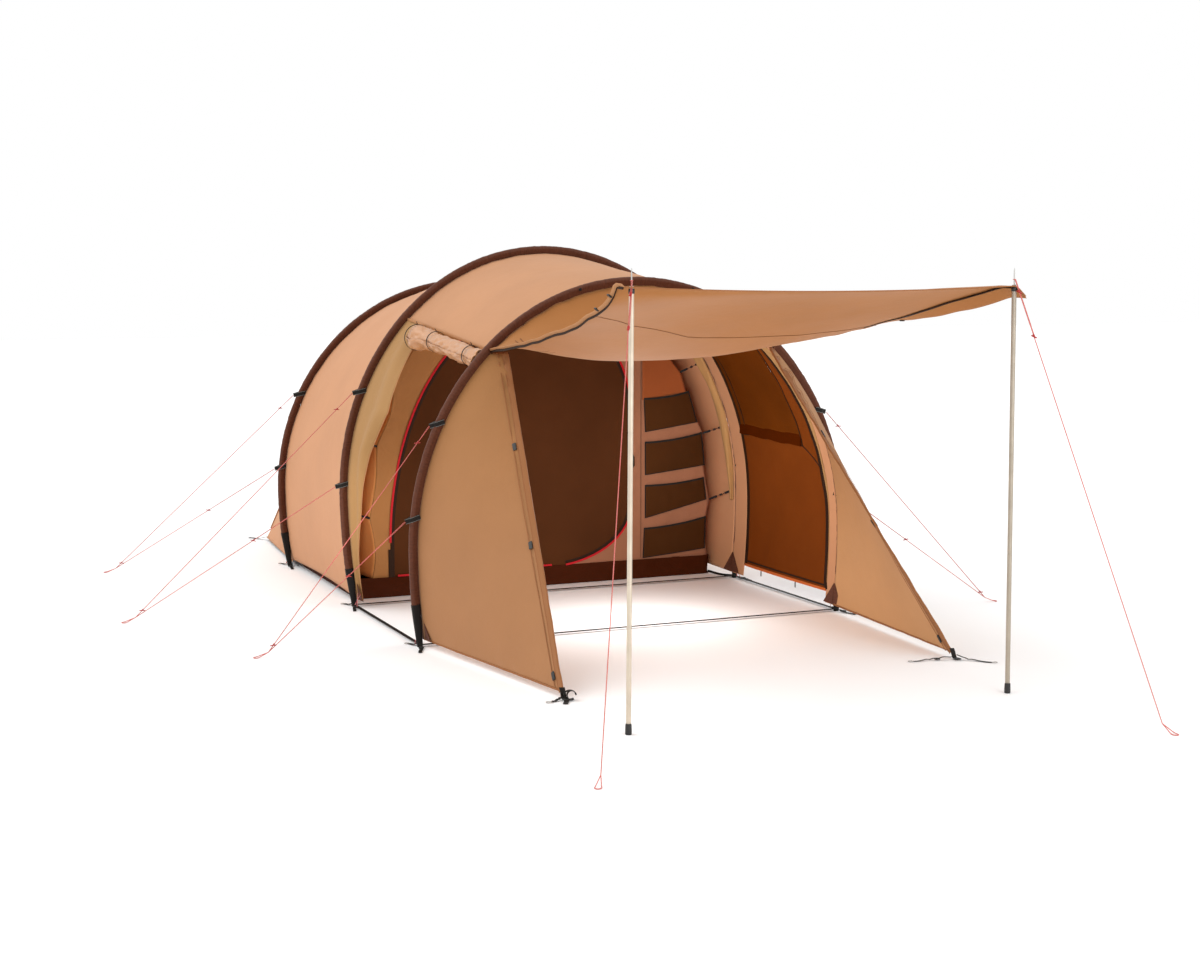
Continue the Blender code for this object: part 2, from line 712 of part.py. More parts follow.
def foot_inset(height):
    """How far inside the toe's point a foot's inner face stands at a height near the ground."""
    share = share_at_height(MIDDLE, FOOT_HEIGHT)
    point, _, inward = arch_frame(MIDDLE, share)
    toe, _, _ = arch_frame(MIDDLE, 0.0)
    top_inner = (point + inward * SLEEVE_DEPTH).x - toe.x
    return FOOT_TOE_INSETS[1] + (top_inner - FOOT_TOE_INSETS[1]) * max(height, 0) / FOOT_HEIGHT


def make_tray():
    """The groundsheet: a floor with its edges turned up all round."""
    front_half, middle_half = INNER_FRONT.half_width, INNER_REAR.half_width
    rear_x, rear_y = TRAY_REAR_CORNER
    outline = [(-front_half, INNER_FRONT.y), (front_half, INNER_FRONT.y),
               (middle_half, INNER_REAR.y), (rear_x, rear_y),
               (-rear_x, rear_y), (-middle_half, INNER_REAR.y)]
    bm = bmesh.new()
    floor = bm.faces.new([bm.verts.new((x, y, 0.0)) for x, y in outline])
    rim = bmesh.ops.extrude_edge_only(bm, edges=floor.edges)["geom"]
    raised = [part for part in rim if isinstance(part, bmesh.types.BMVert)]
    bmesh.ops.translate(bm, vec=(0.0, 0.0, TRAY_HEIGHT), verts=raised)
    bm.normal_update()
    bmesh.ops.recalc_face_normals(bm, faces=bm.faces)
    if floor.normal.z > 0:
        bmesh.ops.reverse_faces(bm, faces=bm.faces)
    mesh = bpy.data.meshes.new("groundsheet")
    bm.to_mesh(mesh)
    bm.free()
    tray = place("groundsheet", mesh, "groundsheet")
    wall = tray.modifiers.new("sheet", "SOLIDIFY")
    wall.thickness = FABRIC
    wall.offset = -1.0
    wall.use_even_offset = True


def door_left_edge(grow):
    """The mesh door's left edge, from the tray up to its top, moved outwards by grow."""
    points = [(DOOR_MIDDLE_X - DOOR_LEFT_REACH - grow, TRAY_HEIGHT + GAP)]
    for step in range(ARC_STEPS + 1):
        turn = math.pi / 2 * step / ARC_STEPS
        x = DOOR_MIDDLE_X - (DOOR_LEFT_REACH + grow) * math.cos(turn)
        z = DOOR_LEFT_SHOULDER_Z + (DOOR_TOP_Z + grow - DOOR_LEFT_SHOULDER_Z) * math.sin(turn)
        points.append((x, z))
    return points


def door_right_edge(grow):
    """The mesh door's right edge, from its top down to the tray, moved outwards by grow."""
    points = []
    power = 2.0 / DOOR_RIGHT_POWER
    for step in range(ARC_STEPS):
        turn = math.pi / 2 * step / ARC_STEPS
        x = DOOR_MIDDLE_X + (DOOR_RIGHT_REACH + grow) * math.sin(turn) ** power
        rise = DOOR_TOP_Z + grow - DOOR_RIGHT_SHOULDER_Z
        points.append((x, DOOR_RIGHT_SHOULDER_Z + rise * math.cos(turn) ** power))
    centre_x, centre_z = DOOR_CORNER_CENTRE
    reach_x, reach_z = DOOR_CORNER_RADII
    for step in range(ARC_STEPS + 1):
        turn = math.pi / 2 * step / ARC_STEPS
        x = centre_x + (reach_x + grow) * math.cos(turn)
        z = centre_z - (reach_z + grow) * math.sin(turn)
        if z > TRAY_HEIGHT + 2 * GAP:
            points.append((x, z))
    low_z = TRAY_HEIGHT + GAP
    sine = (centre_z - low_z) / (reach_z + grow)
    points.append((centre_x + (reach_x + grow) * math.sqrt(1.0 - sine ** 2), low_z))
    return points


def front_wall_edge(from_share, to_share, steps):
    """The inner tent's outline in its front wall."""
    shares = [from_share + (to_share - from_share) * step / steps for step in range(steps + 1)]
    return [outline_point(INNER_FRONT, share) for share in shares]


def split_share():
    """The share at which the wall's outline stands over the top of the mesh door."""
    low, high = 0.3, 0.7
    for _ in range(40):
        middle = (low + high) / 2
        if outline_point(INNER_FRONT, middle)[0] < DOOR_MIDDLE_X:
            low = middle
        else:
            high = middle
    return low


def make_inner_front():
    """The inner tent's front wall: the mesh door, a panel each side, and four pockets."""
    door = door_left_edge(0.0)[:-1] + door_right_edge(0.0)
    flat_piece("inner_mesh_door", door, INNER_FRONT.y, INNER_FABRIC, "mesh")
    low = share_at_height(INNER_FRONT, TRAY_HEIGHT + GAP)
    split = split_share()
    left = door_left_edge(GAP)[:-1]
    left.append((DOOR_MIDDLE_X - GAP, DOOR_TOP_Z + GAP))
    edge = front_wall_edge(split, low, 12)
    edge[0] = (DOOR_MIDDLE_X - GAP, edge[0][1])
    flat_piece("inner_front_left_panel", left + edge, INNER_FRONT.y, INNER_FABRIC,
               "inner_fabric")
    edge = front_wall_edge(split, 1.0 - low, 12)
    edge.reverse()
    flat_piece("inner_front_right_panel", door_right_edge(GAP) + edge, INNER_FRONT.y,
               INNER_FABRIC, "terracotta_fabric")
    for index, outline in enumerate(POCKETS, start=1):
        flat_piece(f"storage_pocket_{index}", outline, INNER_FRONT.y - GAP - POCKET_DEPTH,
                   POCKET_DEPTH, "mesh")


def make_inner_body():
    """The inner tent's walls and roof behind its front wall, and its sloping rear wall."""
    behind = (INNER_FABRIC + GAP) / (INNER_REAR.y - INNER_FRONT.y)
    ways = (behind, 1.0 - GAP / 2 / (INNER_REAR.y - INNER_FRONT.y))
    low = TRAY_HEIGHT + GAP

    def walls(arch):
        return side_shares(arch, low)

    for side in ("left", "right"):
        arch_panel(f"inner_{side}_wall", INNER_FRONT, INNER_REAR, walls, ways, "inner_fabric",
                   mirror=side == "right", outset=0.0, thickness=INNER_FABRIC)
    arch_panel("inner_roof", INNER_FRONT, INNER_REAR, roof_shares, ways, "inner_fabric",
               outset=0.0, thickness=INNER_FABRIC)
    sloping_end("inner_rear_wall", INNER_REAR, TRAY_REAR_CORNER, low, 0.0, FABRIC,
                "inner_fabric", low)


def make_hanger(name, side):
    """An elastic from the inner tent's front edge out to the outer tent's inner face."""
    share = HANGER_STATION / STATIONS
    inner = arch_point(INNER_FRONT, share)
    way = (INNER_FRONT.y - MIDDLE.y) / (REAR.y - MIDDLE.y)
    inset = SLEEVE_DEPTH + GAP + FABRIC
    outer = arch_point(MIDDLE, share, inset).lerp(arch_point(REAR, share, inset), way)
    direction = (outer - inner).normalized()
    ends = [inner + direction * HANGER_STANDS[0], outer - direction * HANGER_STANDS[1]]
    for end in ends:
        end.x *= side
    curve_piece(name, ends, HANGER_RADIUS, "black_webbing", resolution=1)


def build():
    for label, arch in (("rear", REAR), ("middle", MIDDLE), ("front", FRONT)):
        make_arch_pole(f"{label}_arch_pole", arch)
        make_sleeve(f"{label}_pole_sleeve", arch)
        make_foot(f"{label}_left_foot", arch, 1)
        make_foot(f"{label}_right_foot", arch, -1)
    make_section("rear_section", REAR, MIDDLE)
    sloping_end("rear_end", REAR, REAR_CORNER, HEM_HEIGHT / 2, SLEEVE_DEPTH + GAP, FABRIC,
                "tan_fabric", HEM_HEIGHT)
    make_front_section()
    make_wing("left")
    make_wing("right")
    make_canopy()
    for side_name, side in (("left", -1), ("right", 1)):
        make_canopy_pole(side_name, side)
    for label, arch, left_peg, right_peg in zip(("rear", "middle", "front"),
                                                (REAR, MIDDLE, FRONT), LEFT_PEGS, RIGHT_PEGS):
        make_guy_pair(f"{label}_left_guy_lines", arch, 1, left_peg)
        make_guy_pair(f"{label}_right_guy_lines", arch, -1, right_peg)
    make_canopy_guy("left", -1, CANOPY_PEGS[0])
    make_canopy_guy("right", 1, CANOPY_PEGS[1])
    make_straps()
    make_tray()
    make_inner_front()
    make_inner_body()
    make_hanger("left_inner_hanger", 1)
    make_hanger("right_inner_hanger", -1)


build()
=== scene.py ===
"""Looks of a three-arch tunnel tent with a hung inner tent, front wings and a raised canopy.

Pieces are laid out in tent coordinates: metres, +Z up, the front towards -Y, and Y = 0 on the
line between the middle arch's feet. placed() moves points into the model's own frame.
"""

import math
from collections import namedtuple

import bpy
import numpy as np
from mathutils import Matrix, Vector


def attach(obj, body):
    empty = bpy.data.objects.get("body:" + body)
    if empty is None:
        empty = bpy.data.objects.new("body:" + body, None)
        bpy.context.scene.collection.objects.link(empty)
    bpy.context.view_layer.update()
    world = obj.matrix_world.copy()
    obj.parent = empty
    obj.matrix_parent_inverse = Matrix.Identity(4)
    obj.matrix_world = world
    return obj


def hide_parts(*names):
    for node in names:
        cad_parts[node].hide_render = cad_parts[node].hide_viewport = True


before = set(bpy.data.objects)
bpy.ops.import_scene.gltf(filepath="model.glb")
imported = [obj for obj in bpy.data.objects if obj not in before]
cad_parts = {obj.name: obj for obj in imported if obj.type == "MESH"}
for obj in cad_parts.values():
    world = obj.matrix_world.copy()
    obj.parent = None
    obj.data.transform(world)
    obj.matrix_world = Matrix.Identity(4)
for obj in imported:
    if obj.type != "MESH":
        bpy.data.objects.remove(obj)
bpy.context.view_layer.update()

# The outline of an arch is straight-sided below and half an ellipse above
Arch = namedtuple("Arch", "y half_width height straight foot_in lean")
REAR = Arch(1.520, 1.246, 1.798, 0.493, 0.047, 0.0)
MIDDLE = Arch(0.0, 1.259, 2.000, 0.594, 0.045, 0.064)
FRONT = Arch(-1.185, 1.248, 1.830, 0.471, 0.029, 0.023)
INNER_FRONT = Arch(0.200, 1.120, 1.800, 0.500, 0.0, 0.0)
INNER_REAR = Arch(1.420, 1.110, 1.620, 0.420, 0.004, 0.0)
SHIFT_Y = 0.70
RIGHT, BACK, UP = np.eye(3)

# Fabric: how far inside an arch's outer edge the sheets run, and how thick the cloth shows
SLEEVE_DEPTH = 0.044
SHEET_INSET = 0.0462
CLOTH = 0.0012
THREAD_PERIOD = 0.0016
MESH_PERIOD = 0.0022
SLEEVE_RADIUS = 0.0150
SLEEVE_AXIS_INSET = 0.0163
SLEEVE_SEAM = (0.0468, -0.0030)
HEM_HEIGHT = 0.030
FOOT_HEIGHT = 0.200
STATIONS = 32
SEAM = 10 / STATIONS
GUY_STATIONS = (7, 4)

# Side doors, as shares of the way from the middle to the front arch
DOOR_REAR_EDGE = 0.13
DOOR_FRONT_EDGE = 0.93
WINDOW_FRONT_EDGE = 0.78
DOOR_HEM_HEIGHT = 0.100
WINDOW_SILL = 0.930
DOOR_ZIP_LOW = 0.105
REAR_ZIP_WAY = 0.150
DOOR_LOOP_WAYS = (0.32, 0.66)
# The storm flap's width beside the left doorway, by height
FLAP_EDGE_Z = (0.03, 0.093, 0.284, 0.518, 0.70, 0.885, 0.996, 1.127, 1.257, 1.47, 1.62)
FLAP_EDGE_WAY = (0.020, 0.030, 0.085, 0.130, 0.150, 0.185, 0.235, 0.290, 0.260, 0.185, 0.150)
# How the right door's front zip runs, as a way between the arches by height
ZIP_Z = (0.10, 0.50, 0.80, 1.10, 1.36, 1.60)
ZIP_WAY = (0.922, 0.918, 0.905, 0.892, 0.872, 0.850)
# The window's front edge by height, and the slanting seam below its front corner
WINDOW_EDGE_Z = (0.93, 1.6)
WINDOW_EDGE_WAY = (0.775, 0.80)
CORNER_SEAM_WAY = (0.775, 0.80, 0.85, 0.905)
CORNER_SEAM_Z = (0.930, 0.916, 0.876, 0.815)

# The rolled left door: its ties, turns, and where its axis starts and how far it runs
TIE_PLACES = (0.05, 0.32, 0.86)
ROLL_TURNS = 7
ROLL_RADIUS = 0.058
ROLL_START_WAY = 0.205
ROLL_SPAN_WAY = 0.765

# Wings, canopy and its poles
WING_CORNERS = {"left": (0.970, -2.490), "right": (1.070, -2.480)}
WING_TIP_OFFSET = (0.062, -0.070, 0.004)
WING_FOLD = 0.060
# Share of the wing's folded edge that its dark band covers
WING_STRIP_SHARE = 0.45
WING_TAB_HEIGHTS = (1.02, 0.60, 0.09)
CANOPY_FRONT_Y = -3.106
CANOPY_HALF_WIDTH = 1.000
CANOPY_LEFT_X = -0.955
CANOPY_FRONT_Z = 1.7973
CANOPY_BAND = 0.95
CANOPY_SAG = 0.335
CANOPY_SAG_SHAPE = (1.0, 2.4)
CANOPY_SAG_LEAN = 0.138
CANOPY_LEFT_SAG = 0.077
CANOPY_LEFT_SHAPE = (1.2, 0.4)
CANOPY_RIGHT_SAG = 0.022
CANOPY_LIP_SAG = 0.022
CANOPY_FLAP_SHARE = 0.04
CANOPY_FLAP_DROP = 0.058
FLAP_LEAN = np.array([-0.75, 0, 0.66])
FLAP_TAB_SHARES = (0.84, 0.93)
# The seam under the canopy, as (share across, share of the way to the front edge)
CANOPY_SEAM = ((0.0, 0.80), (0.094, 0.721), (0.161, 0.658), (0.295, 0.595), (0.362, 0.559),
               (0.50, 0.53), (0.732, 0.486), (0.90, 0.46), (1.0, 0.45))
POLE_BASES = {"left": (-0.960, -3.160), "right": (0.880, -3.175)}
POLE_HEAD = (0.920, -3.094)
POLE_RADIUS = 0.0105
POLE_JOINTS = (0.62, 1.22)
RUBBER_HEIGHT = 0.045
GUY_SPIKE_Z = 1.822
GUY_RADIUS = 0.0021
GUY_SPREAD = 0.007
TAB_WIDTH = 0.026
TAB_REACH = 0.052
TAB_TIE = 0.0250
TOGGLE_SHARES = (0.432, 0.568)

# Guy lines' loops on the ground, at the rear, middle and front
LEFT_PEGS = ((-2.30, 1.72), (-2.46, 0.03), (-2.02, -1.12))
RIGHT_PEGS = ((2.42, 1.60), (2.25, 0.05), (2.18, -1.30))
CANOPY_PEGS = {"left": (-1.39, -3.83), "right": (1.06, -4.07)}

# A strap's section with its corners cut, as shares of its width and thickness
STRAP_SECTION = np.array([[-0.5, 0.35], [-0.46, 0.5], [0.46, 0.5], [0.5, 0.35],
                          [0.5, -0.35], [0.46, -0.5], [-0.46, -0.5], [-0.5, -0.35]])
BLOCK_BEVEL = 0.12

# A rear corner strap's course, as (reach outwards, lift)
REAR_STRAP = ((-0.03, 0.012), (0.02, 0.0), (0.06, -0.010), (0.10, -0.013), (0.14, -0.012))

# Inner tent
TRAY_HEIGHT = 0.120
INNER_LOW = TRAY_HEIGHT - 0.004
INNER_SCALLOP = 0.028
INNER_PULL = 0.080
TRAY_FRONT_CORNER = (1.12, 0.20)
TRAY_BEND = (1.11, 1.42)
TRAY_REAR_CORNER = (1.000, 2.420)
REAR_CORNER = (1.056, 2.660)
DOOR_MIDDLE_X = -0.100
DOOR_TOP_Z = 1.620
DOOR_LEFT_REACH = 0.82
DOOR_LEFT_SPRING = 0.30
DOOR_RIGHT_REACH = 0.69
DOOR_RIGHT_SPRING = 0.95
# Storage pockets: corners as (x, z), from the top left round to the bottom left
POCKETS = (
    ((0.675, 1.096), (0.970, 1.130), (1.030, 0.939), (0.683, 0.891)),
    ((0.683, 0.831), (1.060, 0.876), (1.082, 0.674), (0.684, 0.630)),
    ((0.684, 0.570), (1.076, 0.600), (1.095, 0.462), (0.684, 0.368)),
    ((0.678, 0.308), (1.091, 0.358), (1.086, 0.160), (0.670, 0.125)),
)
# Heights of the hangers' ends at the inner tent's front edge, and at the outer tent
HANGER_HEIGHTS = ((0.462, 0.521), (0.870, 0.928), (1.246, 1.331))

# Floor and camera
FLOOR_REACH = 40.0
FLOOR_LIGHT = (0.97, 0.97, 0.97)
FLOOR_SHADE = (0.95, 0.95, 0.95)
CAMERA_PLACE = (-3.950, -9.697 + SHIFT_Y, 1.873)
CAMERA_DOWN = math.radians(6.6463)
CAMERA_RIGHT = math.radians(23.663)
CAMERA_LENS = 54.627
CAMERA_SENSOR = 36.0


# Colours

def srgb(red, green, blue):
    """A colour read off the screen, 0 to 255, as linear light."""
    channels = []
    for value in (red, green, blue):
        value /= 255.0
        channels.append(value / 12.92 if value <= 0.04045 else ((value + 0.055) / 1.055) ** 2.4)
    return tuple(channels)


def scaled(colour, factor):
    return tuple(min(channel * factor, 1.0) for channel in colour)


TAN = srgb(194, 140, 101)
# Painted shade: the left wing's tan is darker than the fly's tan.
SHADED_WING_TAN = srgb(163, 114, 74)
# Painted shade: the canopy's tan is darkened for the shade on its underside.
SHADED_CANOPY_TAN = srgb(167, 110, 59)
GLOSSY_TAN = srgb(188, 131, 83)
SLEEVE_BROWN = srgb(89, 47, 28)
DARK_MESH = srgb(80, 45, 23)
POCKET_MESH = srgb(72, 41, 18)
# Painted light: the inner tent's tan is brightened against the shade inside the tent.
LIT_INNER_TAN = srgb(231, 160, 96)
SALMON = srgb(149, 99, 72)
TERRACOTTA = srgb(143, 73, 32)
DOOR_ORANGE = srgb(113, 55, 16)
WINDOW_BROWN = srgb(96, 46, 6)
BAND_RED = srgb(72, 27, 3)
TRAY_BROWN = srgb(64, 25, 6)
BLACK = srgb(34, 31, 29)
ZIP_RED = srgb(190, 28, 38)
ZIP_BROWN = srgb(44, 24, 10)
CORD_RED = srgb(186, 58, 48)
POLE_BEIGE = srgb(198, 185, 167)


# Materials

class Nodes:
    """A short way to write a material's nodes."""

    def __init__(self, name, colour, roughness, metallic=0.0):
        self.material = bpy.data.materials.new(name)
        self.material.use_nodes = True
        self.tree = self.material.node_tree
        self.shader = self.tree.nodes["Principled BSDF"]
        self.shader.inputs["Base Color"].default_value = (*colour, 1.0)
        self.shader.inputs["Roughness"].default_value = roughness
        self.shader.inputs["Metallic"].default_value = metallic
        place = self.tree.nodes.new("ShaderNodeTexCoord")
        self.spot, self.cloth_uv = place.outputs["Object"], place.outputs["UV"]

    def add(self, kind, inputs, output=0, **settings):
        node = self.tree.nodes.new(kind)
        for key, value in settings.items():
            setattr(node, key, value)
        for key, value in inputs.items():
            if isinstance(value, bpy.types.NodeSocket):
                self.tree.links.new(value, node.inputs[key])
            else:
                node.inputs[key].default_value = value
        return node.outputs[output]

    def noise(self, where, scale, detail=2.0, roughness=0.5, distortion=0.0):
        inputs = {"Vector": where, "Scale": scale, "Detail": detail, "Roughness": roughness,
                  "Distortion": distortion}
        return self.add("ShaderNodeTexNoise", inputs)

    def stretched(self, where, scale, turn=0.0):
        inputs = {"Vector": where, "Scale": scale, "Rotation": (0.0, 0.0, turn)}
        return self.add("ShaderNodeMapping", inputs)

    def bands(self, where, period, direction):
        scale = math.pi / 10.0 / period
        return self.add("ShaderNodeTexWave", {"Vector": where, "Scale": scale}, output=1,
                        bands_direction=direction)

    def math(self, operation, a, b):
        return self.add("ShaderNodeMath", {0: a, 1: b}, operation=operation)

    def mix(self, factor, colour_a, colour_b):
        node = self.tree.nodes.new("ShaderNodeMix")
        node.data_type = "RGBA"
        sockets = {s.identifier: s for s in node.inputs}
        for key, value in (("Factor_Float", factor), ("A_Color", colour_a), ("B_Color", colour_b)):
            if isinstance(value, bpy.types.NodeSocket):
                self.tree.links.new(value, sockets[key])
            elif key == "Factor_Float":
                sockets[key].default_value = value
            else:
                sockets[key].default_value = (*value, 1.0)
        return [s for s in node.outputs if s.identifier == "Result_Color"][0]

    def ramp(self, value, low, high):
        inputs = {"Value": value, "From Min": low, "From Max": high}
        return self.add("ShaderNodeMapRange", inputs)

    def bump(self, height, strength, distance, below=None):
        inputs = {"Height": height, "Strength": strength, "Distance": distance}
        if below is not None:
            inputs["Normal"] = below
        return self.add("ShaderNodeBump", inputs)

    def link(self, source, socket):
        self.tree.links.new(source, self.shader.inputs[socket])

    def settings(self, values):
        for socket, value in values.items():
            self.shader.inputs[socket].default_value = value


def fabric(name, colour, roughness=0.75, crinkle=0.35, size=0.05, mottle=0.06, sheen=0.05,
           shade_by_height=None, shine=0.0, gloss=0.2):
    """Woven cloth: threads and soft creases in the bump, and a tone that is a little uneven.

    The height argument, (low z, high z, colour at the high end), darkens the cloth towards the top
    as painted shade.
    """
    n = Nodes(name, colour, roughness)
    patches = n.ramp(n.noise(n.spot, 2.6, 3.0, 0.55), 0.35, 0.65)
    # Painted shade: the colour darkens with height towards the colour given for the high end.
    if shade_by_height:
        low, high, high_colour = shade_by_height
        height = n.add("ShaderNodeSeparateXYZ", {"Vector": n.spot}, output=2)
        base = n.mix(n.ramp(height, low, high), colour, high_colour)
        tone = n.mix(n.math("MULTIPLY", patches, mottle), base, (0.0, 0.0, 0.0))
    else:
        tone = n.mix(patches, colour, scaled(colour, 1.0 - mottle))
    n.link(tone, "Base Color")
    threads = n.math("ADD", *[n.bands(n.cloth_uv, THREAD_PERIOD, axis) for axis in "XY"])
    creases = n.bump(n.noise(n.spot, 1.0 / size, 3.0, 0.55, 0.6), crinkle, size * 0.12)
    n.link(n.bump(threads, 0.12, 0.0002, creases), "Normal")
    n.settings({"Specular IOR Level": gloss, "Sheen Weight": sheen, "Sheen Roughness": 0.5,
                "Coat Weight": shine, "Coat Roughness": 0.25})
    return n.material


def open_mesh(name, colour):
    """Fine netting: a dark grid of holes, drawn in the cloth's own directions."""
    n = Nodes(name, colour, 0.8)
    grid = n.math("MULTIPLY", *[n.bands(n.cloth_uv, MESH_PERIOD, axis) for axis in "XY"])
    patch = n.ramp(n.noise(n.spot, 2.2, 2.0), 0.35, 0.7)
    threads = n.mix(patch, colour, scaled(colour, 0.80))
    n.link(n.mix(n.math("MULTIPLY", grid, 0.35), threads, scaled(colour, 0.35)), "Base Color")
    soft = n.bump(n.noise(n.spot, 9.0, 2.0), 0.30, 0.012)
    n.link(n.bump(grid, 0.25, 0.0003, soft), "Normal")
    n.settings({"Specular IOR Level": 0.03})
    return n.material


def sleeve_cloth(name, colour):
    """Sleeve fabric, gathered into fine slanting creases by the bent pole inside it, with painted
    shade in the creases and painted highlight on their crests.
    """
    n = Nodes(name, colour, 0.62)
    slant = n.stretched(n.cloth_uv, (120.0, 26.0, 1.0), 0.55)
    creases = n.noise(slant, 1.0, 3.0, 0.6, 0.5)
    # Painted shade and highlight: the colour follows the creases, darker in them and lighter on
    # their crests.
    tone = n.mix(n.ramp(creases, 0.30, 0.75), scaled(colour, 0.78), scaled(colour, 1.25))
    n.link(tone, "Base Color")
    broad = n.bump(creases, 0.7, 0.0035)
    n.link(n.bump(n.bands(n.cloth_uv, 0.0014, "X"), 0.15, 0.0002, broad), "Normal")
    n.settings({"Specular IOR Level": 0.25, "Sheen Weight": 0.05})
    return n.material


def webbing(name, colour, rib=0.0024):
    """Flat woven strap, ribbed across its length; the ribs also show in its colour, with painted
    shade in their grooves and painted highlight on their crests.
    """
    n = Nodes(name, colour, 0.6)
    ribs = n.bands(n.cloth_uv, rib, "X")
    # The woven ribs in the colour, with painted shade in the grooves and painted highlight on the
    # crests.
    tone = n.mix(n.math("MULTIPLY", ribs, 0.5), scaled(colour, 0.75), scaled(colour, 1.5))
    n.link(tone, "Base Color")
    wear = n.bump(n.noise(n.spot, 120.0, 2.0), 0.2, 0.001)
    n.link(n.bump(ribs, 0.5, 0.0005, wear), "Normal")
    n.settings({"Specular IOR Level": 0.12})
    return n.material


def braid(name, colour, fleck):
    """Braided cord: two slanting strands with a lighter fleck."""
    n = Nodes(name, colour, 0.55)
    twist = n.bands(n.stretched(n.cloth_uv, (1.0, 0.25, 1.0), 0.6), 0.0035, "X")
    n.link(n.mix(n.ramp(twist, 0.80, 0.95), colour, fleck), "Base Color")
    n.link(n.bump(twist, 0.5, 0.0006), "Normal")
    return n.material


def moulded(name, colour, roughness=0.45, metallic=0.0, grain=900.0, strength=0.12):
    """Plastic, rubber or metal with a fine grain and slightly uneven gloss."""
    n = Nodes(name, colour, roughness, metallic)
    cloud = n.noise(n.spot, 14.0, 3.0)
    n.link(n.mix(n.ramp(cloud, 0.3, 0.7), colour, scaled(colour, 0.86)), "Base Color")
    n.link(n.ramp(cloud, -1.2, 2.4) if metallic else n.ramp(cloud, -0.6, 1.6), "Roughness")
    n.link(n.bump(n.noise(n.spot, grain, 2.0), strength, 0.0004), "Normal")
    return n.material


FLY = fabric("fly_fabric", TAN)
ROOF = fabric("front_roof_fabric", srgb(189, 137, 98))
# Painted shade: the left wing's cloth is a darker copy of the fly's, and it darkens further
# towards its top.
WING = fabric("left_wing_painted_shade", SHADED_WING_TAN, shade_by_height=(0.5, 1.5, srgb(153, 105, 59)))
# Painted shade: the right wing, seen from inside, darkens from its hem upwards.
SHADED_RIGHT_WING = fabric("right_wing_painted_shade", srgb(197, 148, 101), shade_by_height=(0.15, 0.80, srgb(166, 119, 76)))
# Painted shade: the canopy's cloth is a darkened copy of the tan fabric.
CANOPY = fabric("canopy_painted_shade", SHADED_CANOPY_TAN, crinkle=0.25)
FLAP = fabric("flap_fabric", srgb(169, 127, 79), crinkle=0.5)
ROLL = fabric("rolled_fabric", GLOSSY_TAN, roughness=0.38, crinkle=0.9, size=0.028, shine=0.6)
SLEEVE = sleeve_cloth("sleeve_fabric", SLEEVE_BROWN)
STRIP = fabric("dark_strip", srgb(98, 60, 44), crinkle=0.3)
# Painted light: the inner body's cloth is brightened to lift the shade inside.
INNER = fabric("inner_fabric", LIT_INNER_TAN, crinkle=0.5, size=0.09, sheen=0.0, gloss=0.1)
# Painted shade: the inner front's left panel takes a darker copy of the inner cloth.
SHADED_INNER_PANEL = fabric("inner_panel_painted_shade", scaled(LIT_INNER_TAN, 0.43), crinkle=0.5, size=0.09,
                     sheen=0.0, gloss=0.1)
INNER_SALMON = fabric("inner_salmon", SALMON, crinkle=0.7, size=0.06)
SALMON_SEAM = fabric("salmon_seam", scaled(SALMON, 0.62))
INNER_RED = fabric("inner_terracotta", TERRACOTTA, crinkle=0.3)
NET = open_mesh("door_netting", DARK_MESH)
POCKET_NET = open_mesh("pocket_netting", POCKET_MESH)
DOOR = fabric("side_door_fabric", DOOR_ORANGE, crinkle=0.3, size=0.12, mottle=0.12, sheen=0.0,
              gloss=0.02)
WINDOW = open_mesh("window_netting", WINDOW_BROWN)
BAND = fabric("window_band", BAND_RED, sheen=0.0, gloss=0.0)
HEM_ORANGE = fabric("lit_hem", srgb(196, 98, 38), crinkle=0.3)
TRAY = fabric("tray_fabric", TRAY_BROWN, roughness=0.6, crinkle=0.7, size=0.08, sheen=0.0,
              gloss=0.05)
TAN_BINDING = webbing("tan_binding", srgb(186, 134, 92), rib=0.003)
EDGE_BINDING = webbing("edge_binding", srgb(150, 98, 60), rib=0.003)
SEAM_LINE = webbing("seam_line", srgb(126, 80, 46), rib=0.003)
WING_STRIP = fabric("wing_strip", srgb(148, 98, 59))
STRAP = webbing("black_webbing", BLACK)
STRAP_EDGE = webbing("grey_edging", srgb(120, 120, 116))
ZIP = webbing("dark_zip", ZIP_BROWN, rib=0.0035)
RED_ZIP = webbing("red_zip", ZIP_RED, rib=0.0035)
CORD = braid("red_cord", CORD_RED, srgb(226, 170, 160))
ELASTIC = braid("elastic_cord", srgb(200, 40, 44), srgb(240, 236, 230))
# Painted light: the left canopy pole and the arch poles take a lit copy of the pole beige, and the
# right canopy pole a shaded copy.
LIT_ALLOY = moulded("pole_alloy", scaled(POLE_BEIGE, 1.15), 0.35, 0.55, grain=300.0, strength=0.04)
SHADED_ALLOY = moulded("shaded_pole_alloy", scaled(POLE_BEIGE, 0.75), 0.35, 0.55, grain=300.0,
                    strength=0.04)
STEEL = moulded("spike_steel", srgb(190, 188, 184), 0.30, 1.0, grain=300.0, strength=0.04)
RUBBER = moulded("pole_rubber", srgb(30, 29, 28), 0.8)
PLASTIC = moulded("black_plastic", srgb(28, 27, 26), 0.45)
RED_PLASTIC = moulded("red_plastic", srgb(168, 34, 30), 0.45)


# Points, noise and surface relief

def outline_length(arch):
    return 2 * arch.straight + math.pi / 2 * (arch.half_width + arch.height - arch.straight)


def low_share(arch, z):
    """An arch's share of outline from its left foot, at a height below the straight part's top."""
    return z / outline_length(arch)


